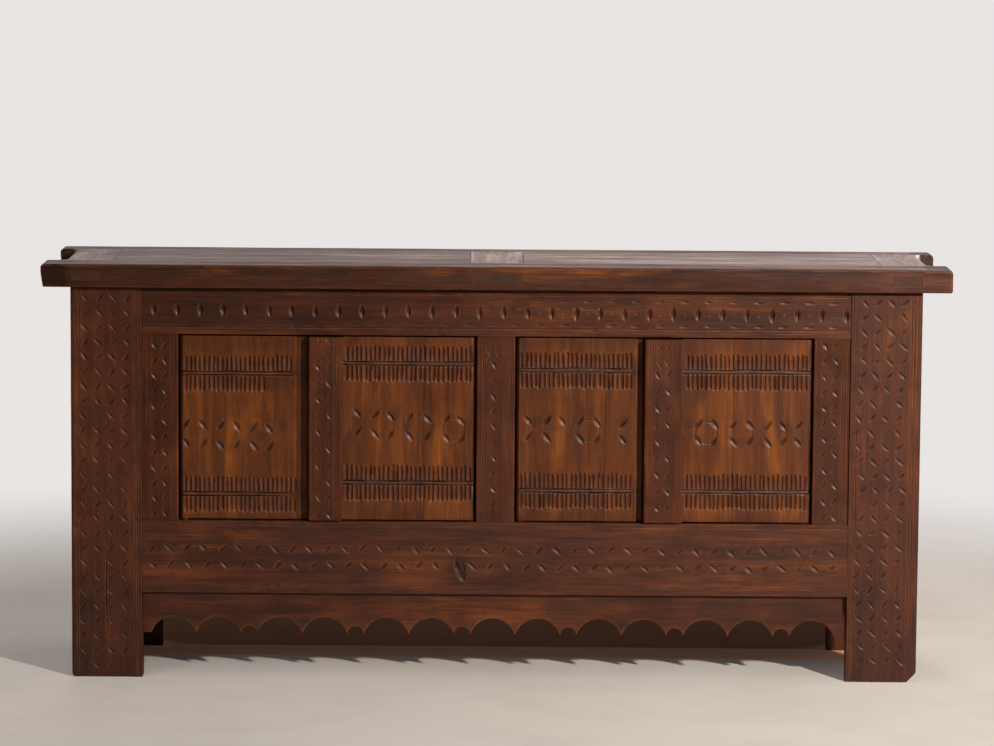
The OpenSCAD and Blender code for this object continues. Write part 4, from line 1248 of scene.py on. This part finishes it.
class CABINET_OT_carcass(bpy.types.Operator):
    """Finish the rear legs, sides, back and floor"""

    bl_idname = "cabinet.carcass"
    bl_label = "Sides, back and floor"

    def execute(self, context):
        for node, seed in (("rear_left_leg", 601), ("rear_right_leg", 603)):
            low, high = box(node)
            high[2] = LEG_TOP
            faces = [Face(side, low, high, 6, seed) for side in ("front", "back")]
            for face in faces:
                face.finish(0.7, True, (2.5, 2.5, 2, 0.5))
                face.stain[:] = 0.7
            dress(node, faces, frame_wood(node + "_wood", "Z", seed * 0.11), 0.7)
        for side in ("left", "right"):
            for part in ("upper_rail", "lower_rail", "upper_board", "lower_board"):
                node = f"{side}_side_{part}"
                low, high = box(node)
                low[1], high[1] = LEFT_LEG[1][1], box("rear_left_leg")[0][1]
                face = Face(side, low, high, 5, 611 + len(part))
                face.finish(0.8, False, (0.5, 0.5, 1.5, 1.5))
                face.stain[:] = 0.6
                dress(node, [face], frame_wood(node + "_wood", "Y", 6.1 + len(node)), 0.3)
        for number, (node, fade) in enumerate((
            ("back_upper_rail", 0.9), ("back_lower_rail", 0.85), ("back_stile", 0.95),
            ("back_left_upper_board", 1.05), ("back_left_lower_board", 0.8),
            ("back_right_upper_board", 0.85), ("back_right_lower_board", 1.1),
        )):
            low, high = box(node)
            face = Face("back", low, high, 7, 631 + number)
            upright = node == "back_stile"
            if upright:
                low[2], high[2] = STILE_FOOT, STILE_HEAD
            face.finish(1.2, upright, (0.4, 0.4, 2, 2), 10)
            seam = np.minimum(face.grid_v - low[2], high[2] - face.grid_v)
            face.wax_and_shade[:] = 0.9 * smooth_step(1.8 - seam / (2.5 * MM))
            axis, offset = "Z" if upright else "X", 20 + number * 1.3
            dress(node, [face], inner_wood(node + "_wood", axis, offset, fade, knots=0.4))
        for node in ("floor_front_board", "floor_rear_board"):
            face = Face("top", *box(node), 8, 651 + len(node))
            face.finish(0.9, False, (0.4, 0.4, 1, 1))
            dress(node, [face], inner_wood(node + "_wood", "X", len(node) * 0.9, knots=0.5))
        for node in ("floor_left_bearer", "floor_right_bearer", "floor_middle_bearer"):
            paint(node, inner_wood(node + "_wood", "Y", len(node) * 0.7))
        return {"FINISHED"}


class CABINET_OT_fastenings(bpy.types.Operator):
    """Finish the battens, pegs and nails"""

    bl_idname = "cabinet.fastenings"
    bl_label = "Battens, pegs and nails"

    def execute(self, context):
        iron = black_iron("nail_iron")
        for door in LEAVES:
            offset = len(door) * 1.9 + int(door[-1])
            paint(f"{door}_battens", inner_wood(f"{door}_batten_wood", "X", offset))
            paint(f"{door}_nails", iron)
        peg = frame_wood("peg_wood", "Z", 9.9, streaks=0.8)
        paint("frame_pegs", peg)
        paint("top_pegs", peg)
        return {"FINISHED"}


def sheet(name, points, quads, material):
    """A piece of the stage made of flat squares."""
    mesh = bpy.data.meshes.new(name)
    mesh.from_pydata(points.tolist(), [], quads)
    mesh.materials.append(material)
    item = place_object(name, mesh)
    return item


# Lamps: place, what it points at, how wide its beam is in degrees, width, power and colour; the
# key lamp's width and power come from the panel
LAMPS = {
    "key": ((3.3, -5.2, 3.1), (1.2, -0.2, 0.9), 66, None, None, (1.0, 0.95, 0.88)),
    "fill": ((-3.6, -5.2, 2.6), (0.0, 0.0, 0.5), 180, 2.4, 40.0, (0.95, 0.96, 0.98)),
    "rear": ((-1.2, 6.0, 0.9), (0.0, 0.0, 0.5), 60, 1.6, 24.0, (1.0, 0.98, 0.95)),
}


class CABINET_OT_stage(bpy.types.Operator):
    """Lay the floor and set the lights and the camera"""

    bl_idname = "cabinet.stage"
    bl_label = "Stage"

    def execute(self, context):
        settings = context.scene.cabinet_stage
        self.lay_floor(settings)
        self.flag()
        self.surround(settings)
        self.lamps(settings)
        self.set_camera()
        context.scene.view_settings.view_transform = "Standard"
        return {"FINISHED"}

    @staticmethod
    def lay_floor(settings):
        """A wide flat floor, a plain grid of squares, which far off takes on the backdrop's colour.

        Close behind the cabinet, where a wall would keep the light away, it is painted dark, a
        painted shadow that is the weaker the further a point lies from a line along the cabinet's
        back. Under the cabinet it is painted browner and darker, and glows browner and less, a
        painted shade with the wood's light in it.
        """
        line = np.sinh(np.linspace(-5, 5, 31)) * 1.2
        x, y = np.meshgrid(line, line, indexing="ij")
        number = np.arange(x.size).reshape(x.shape)
        corners = number[:-1, :-1], number[1:, :-1], number[1:, 1:], number[:-1, 1:]
        quads = np.stack(corners, -1).reshape(-1, 4).tolist()
        m = Material("floor_plaster")
        place = m.add("TexCoord", "Object")
        far = m.add("VectorMath", "Value", operation="LENGTH", Vector=place)
        away = far.ramp(1.35, 3.1, interpolation_type="SMOOTHSTEP")
        stains = m.add("TexNoise", "Fac", Vector=place, Scale=2.2, Detail=5.0, Roughness=0.6)
        side, depth = abs(place.part("X")), place.part("Y")
        aside, back = m.math("MAXIMUM", side - 0.64, 0.0), depth - 0.4
        gap = m.math("SQRT", aside * aside + back * back)
        # painted shadow: the floor close behind the cabinet is darkened, where a wall would keep
        # the light away
        near = gap.ramp(0.37, 0.18, interpolation_type="SMOOTHSTEP") * depth.ramp(0.18, 0.2)
        within = depth.ramp(0.22, 0.2) * side.ramp(0.9, 0.84)
        # painted shade: under the cabinet the floor is browner and darker
        painted_shade_under = depth.ramp(0.03, 0.08) * within
        tone = m.mix("MULTIPLY", stains.ramp(0.45, 0.8), tuple(settings.floor), (0.86, 0.85, 0.84))
        tone = m.mix("MULTIPLY", near, tone, (0.15, 0.085, 0.062))
        tone = m.mix("MULTIPLY", painted_shade_under, tone, (0.95, 0.60, 0.42))
        camera, glossy, through = (
            m.add("LightPath", f"Is {ray} Ray") for ray in ("Camera", "Glossy", "Transmission")
        )
        mirrored = m.math("MAXIMUM", glossy, through) * depth.ramp(0.0, 2.0)
        # painted shade: less glow on the floor under the front of the cabinet
        painted_shade_glow_cut = depth.ramp(-0.18, 0.03) * within * 0.06 * (1.0 - painted_shade_under)
        glow = away * 0.92 + (1.0 - near) * (0.08 - painted_shade_glow_cut)
        plaster = m.surface(
            Base_Color=m.mix("MIX", away, tone, (0.02, 0.02, 0.02)), Roughness=0.7,
            Emission_Color=m.mix("MIX", painted_shade_under, tuple(settings.backdrop), (0.41, 0.23, 0.175)),
            Emission_Strength=m.math("MAXIMUM", camera, mirrored) * glow, Specular_IOR_Level=0.0,
        )
        sheet("floor", np.stack([x, y, 0 * x], -1).reshape(-1, 3), quads, plaster)

    @staticmethod
    def flag():
        """A black flag at the left and the back of the space under the cabinet.

        It keeps light from behind off the floor there, as a wall would, and the camera
        doesn't see it.
        """
        left, right = LEFT_LEG[0][0] + 30 * MM, RIGHT_LEG[1][0] - 30 * MM
        front, back = LEFT_LEG[1][1], box("rear_left_leg")[1][1] - 10 * MM
        corners = np.array([[left, front], [left, back], [right, back]])
        heights = (2 * MM, box("back_lower_rail")[0][2])
        points = np.vstack([np.column_stack([corners, np.full(3, z)]) for z in heights])
        m = Material("flag_cloth")
        cloth = m.surface(Base_Color=srgb(48, 30, 24), Roughness=1.0, Specular_IOR_Level=0.0)
        flag = sheet("flag", points, [[0, 1, 4, 3], [1, 2, 5, 4]], cloth)
        flag.visible_camera = False

    @staticmethod
    def surround(settings):
        """Soft light from all round.

        What shines in glossy surfaces is a pale wall behind the cabinet, seen from low down
        at the back, fading to the soft light elsewhere.
        """
        world = bpy.data.worlds.new("studio")
        bpy.context.scene.world = world
        world.use_nodes = True
        m, nodes = Nodes(world.node_tree), world.node_tree.nodes
        glossy, camera = (m.add("LightPath", f"Is {ray} Ray") for ray in ("Glossy", "Camera"))
        sky, dimmed = settings.sky, settings.sky * 0.4
        strength = m.add("MapRange", "Result", Value=glossy, To_Min=sky, To_Max=dimmed)
        soft = m.add("Background", 0, Color=(1.0, 0.985, 0.965), Strength=strength)
        m.feed(nodes["Background"], Color=tuple(settings.backdrop))
        behind = m.add("TexCoord", "Generated").part("Y").ramp(0.1, 0.8)
        shown = m.add("MixShader", 0, Fac=m.math("MAXIMUM", behind * glossy, camera))
        m.put(shown.socket.node.inputs[1], soft)
        m.put(shown.socket.node.inputs[2], Value(m, nodes["Background"].outputs[0]))
        m.put(nodes["World Output"].inputs["Surface"], shown)

    @staticmethod
    def lamps(settings):
        """A key lamp at the right front, a weak fill at the left and a lamp behind."""
        for name, (place, target, spread, width, power, tint) in LAMPS.items():
            data = bpy.data.lights.new(name, "AREA")
            data.shape = "DISK"
            data.size = width or settings.key_size
            data.energy = power or settings.key_power
            data.color = tint
            data.spread = math.radians(spread)
            lamp = place_object(name, data)
            lamp.visible_glossy = name == "key"
            lamp.location = place
            aim = np.array(target) - np.array(place)
            turn = math.atan2(aim[1], aim[0]) - math.pi / 2
            tilt = math.atan2(math.hypot(aim[0], aim[1]), -aim[2])
            lamp.rotation_euler = (tilt, 0, turn)

    @staticmethod
    def set_camera():
        """The photograph's long lens, level with its horizon and turned as its film was."""
        data = bpy.data.cameras.new("camera")
        data.sensor_width = SENSOR_MM
        data.lens = FOCAL_PX / PHOTO_W * SENSOR_MM
        data.clip_end = 100
        camera = place_object("camera", data)
        place = Matrix.Translation((CAMERA_X, LEFT_LEG[0][1] - CAMERA_DISTANCE, CAMERA_HEIGHT))
        pitch = Matrix.Rotation(math.pi / 2 - CAMERA_PITCH, 4, "X")
        camera.matrix_world = place @ pitch @ Matrix.Rotation(CAMERA_ROLL, 4, "Z")
        bpy.context.scene.camera = camera


class CABINET_PT_panel(bpy.types.Panel):
    """Lists the steps that dress the cabinet"""

    bl_idname = "CABINET_PT_panel"
    bl_label = "Carved Cabinet"
    bl_space_type = "VIEW_3D"
    bl_region_type = "UI"
    bl_category = "Cabinet"

    def draw(self, context):
        scene = context.scene
        for group in (scene.cabinet_carving, scene.cabinet_woods, scene.cabinet_stage):
            column = self.layout.column()
            for name in group.bl_rna.properties.keys():
                if name not in ("rna_type", "name"):
                    column.prop(group, name)
        for step in STEPS:
            self.layout.operator(step.bl_idname)


STEPS = (
    CABINET_OT_front_legs,
    CABINET_OT_front_rails,
    CABINET_OT_stiles,
    CABINET_OT_apron,
    CABINET_OT_leaves,
    CABINET_OT_cover_strips,
    CABINET_OT_top,
    CABINET_OT_carcass,
    CABINET_OT_fastenings,
    CABINET_OT_stage,
)
CLASSES = (CarvingSizes, WoodColours, StageSettings, *STEPS, CABINET_PT_panel)


def register():
    """Adds the classes and the scene's settings."""
    for item in CLASSES:
        bpy.utils.register_class(item)
    bpy.types.Scene.cabinet_carving = bpy.props.PointerProperty(type=CarvingSizes)
    bpy.types.Scene.cabinet_woods = bpy.props.PointerProperty(type=WoodColours)
    bpy.types.Scene.cabinet_stage = bpy.props.PointerProperty(type=StageSettings)


def unregister():
    """Takes them away again."""
    del bpy.types.Scene.cabinet_stage
    del bpy.types.Scene.cabinet_woods
    del bpy.types.Scene.cabinet_carving
    for item in reversed(CLASSES):
        bpy.utils.unregister_class(item)


def main():
    """Runs every step in order."""
    register()
    bpy.ops.cabinet.front_legs()
    bpy.ops.cabinet.front_rails()
    bpy.ops.cabinet.stiles()
    bpy.ops.cabinet.apron()
    bpy.ops.cabinet.leaves()
    bpy.ops.cabinet.cover_strips()
    bpy.ops.cabinet.top()
    bpy.ops.cabinet.carcass()
    bpy.ops.cabinet.fastenings()
    bpy.ops.cabinet.stage()


if __name__ == "__main__":
    main()
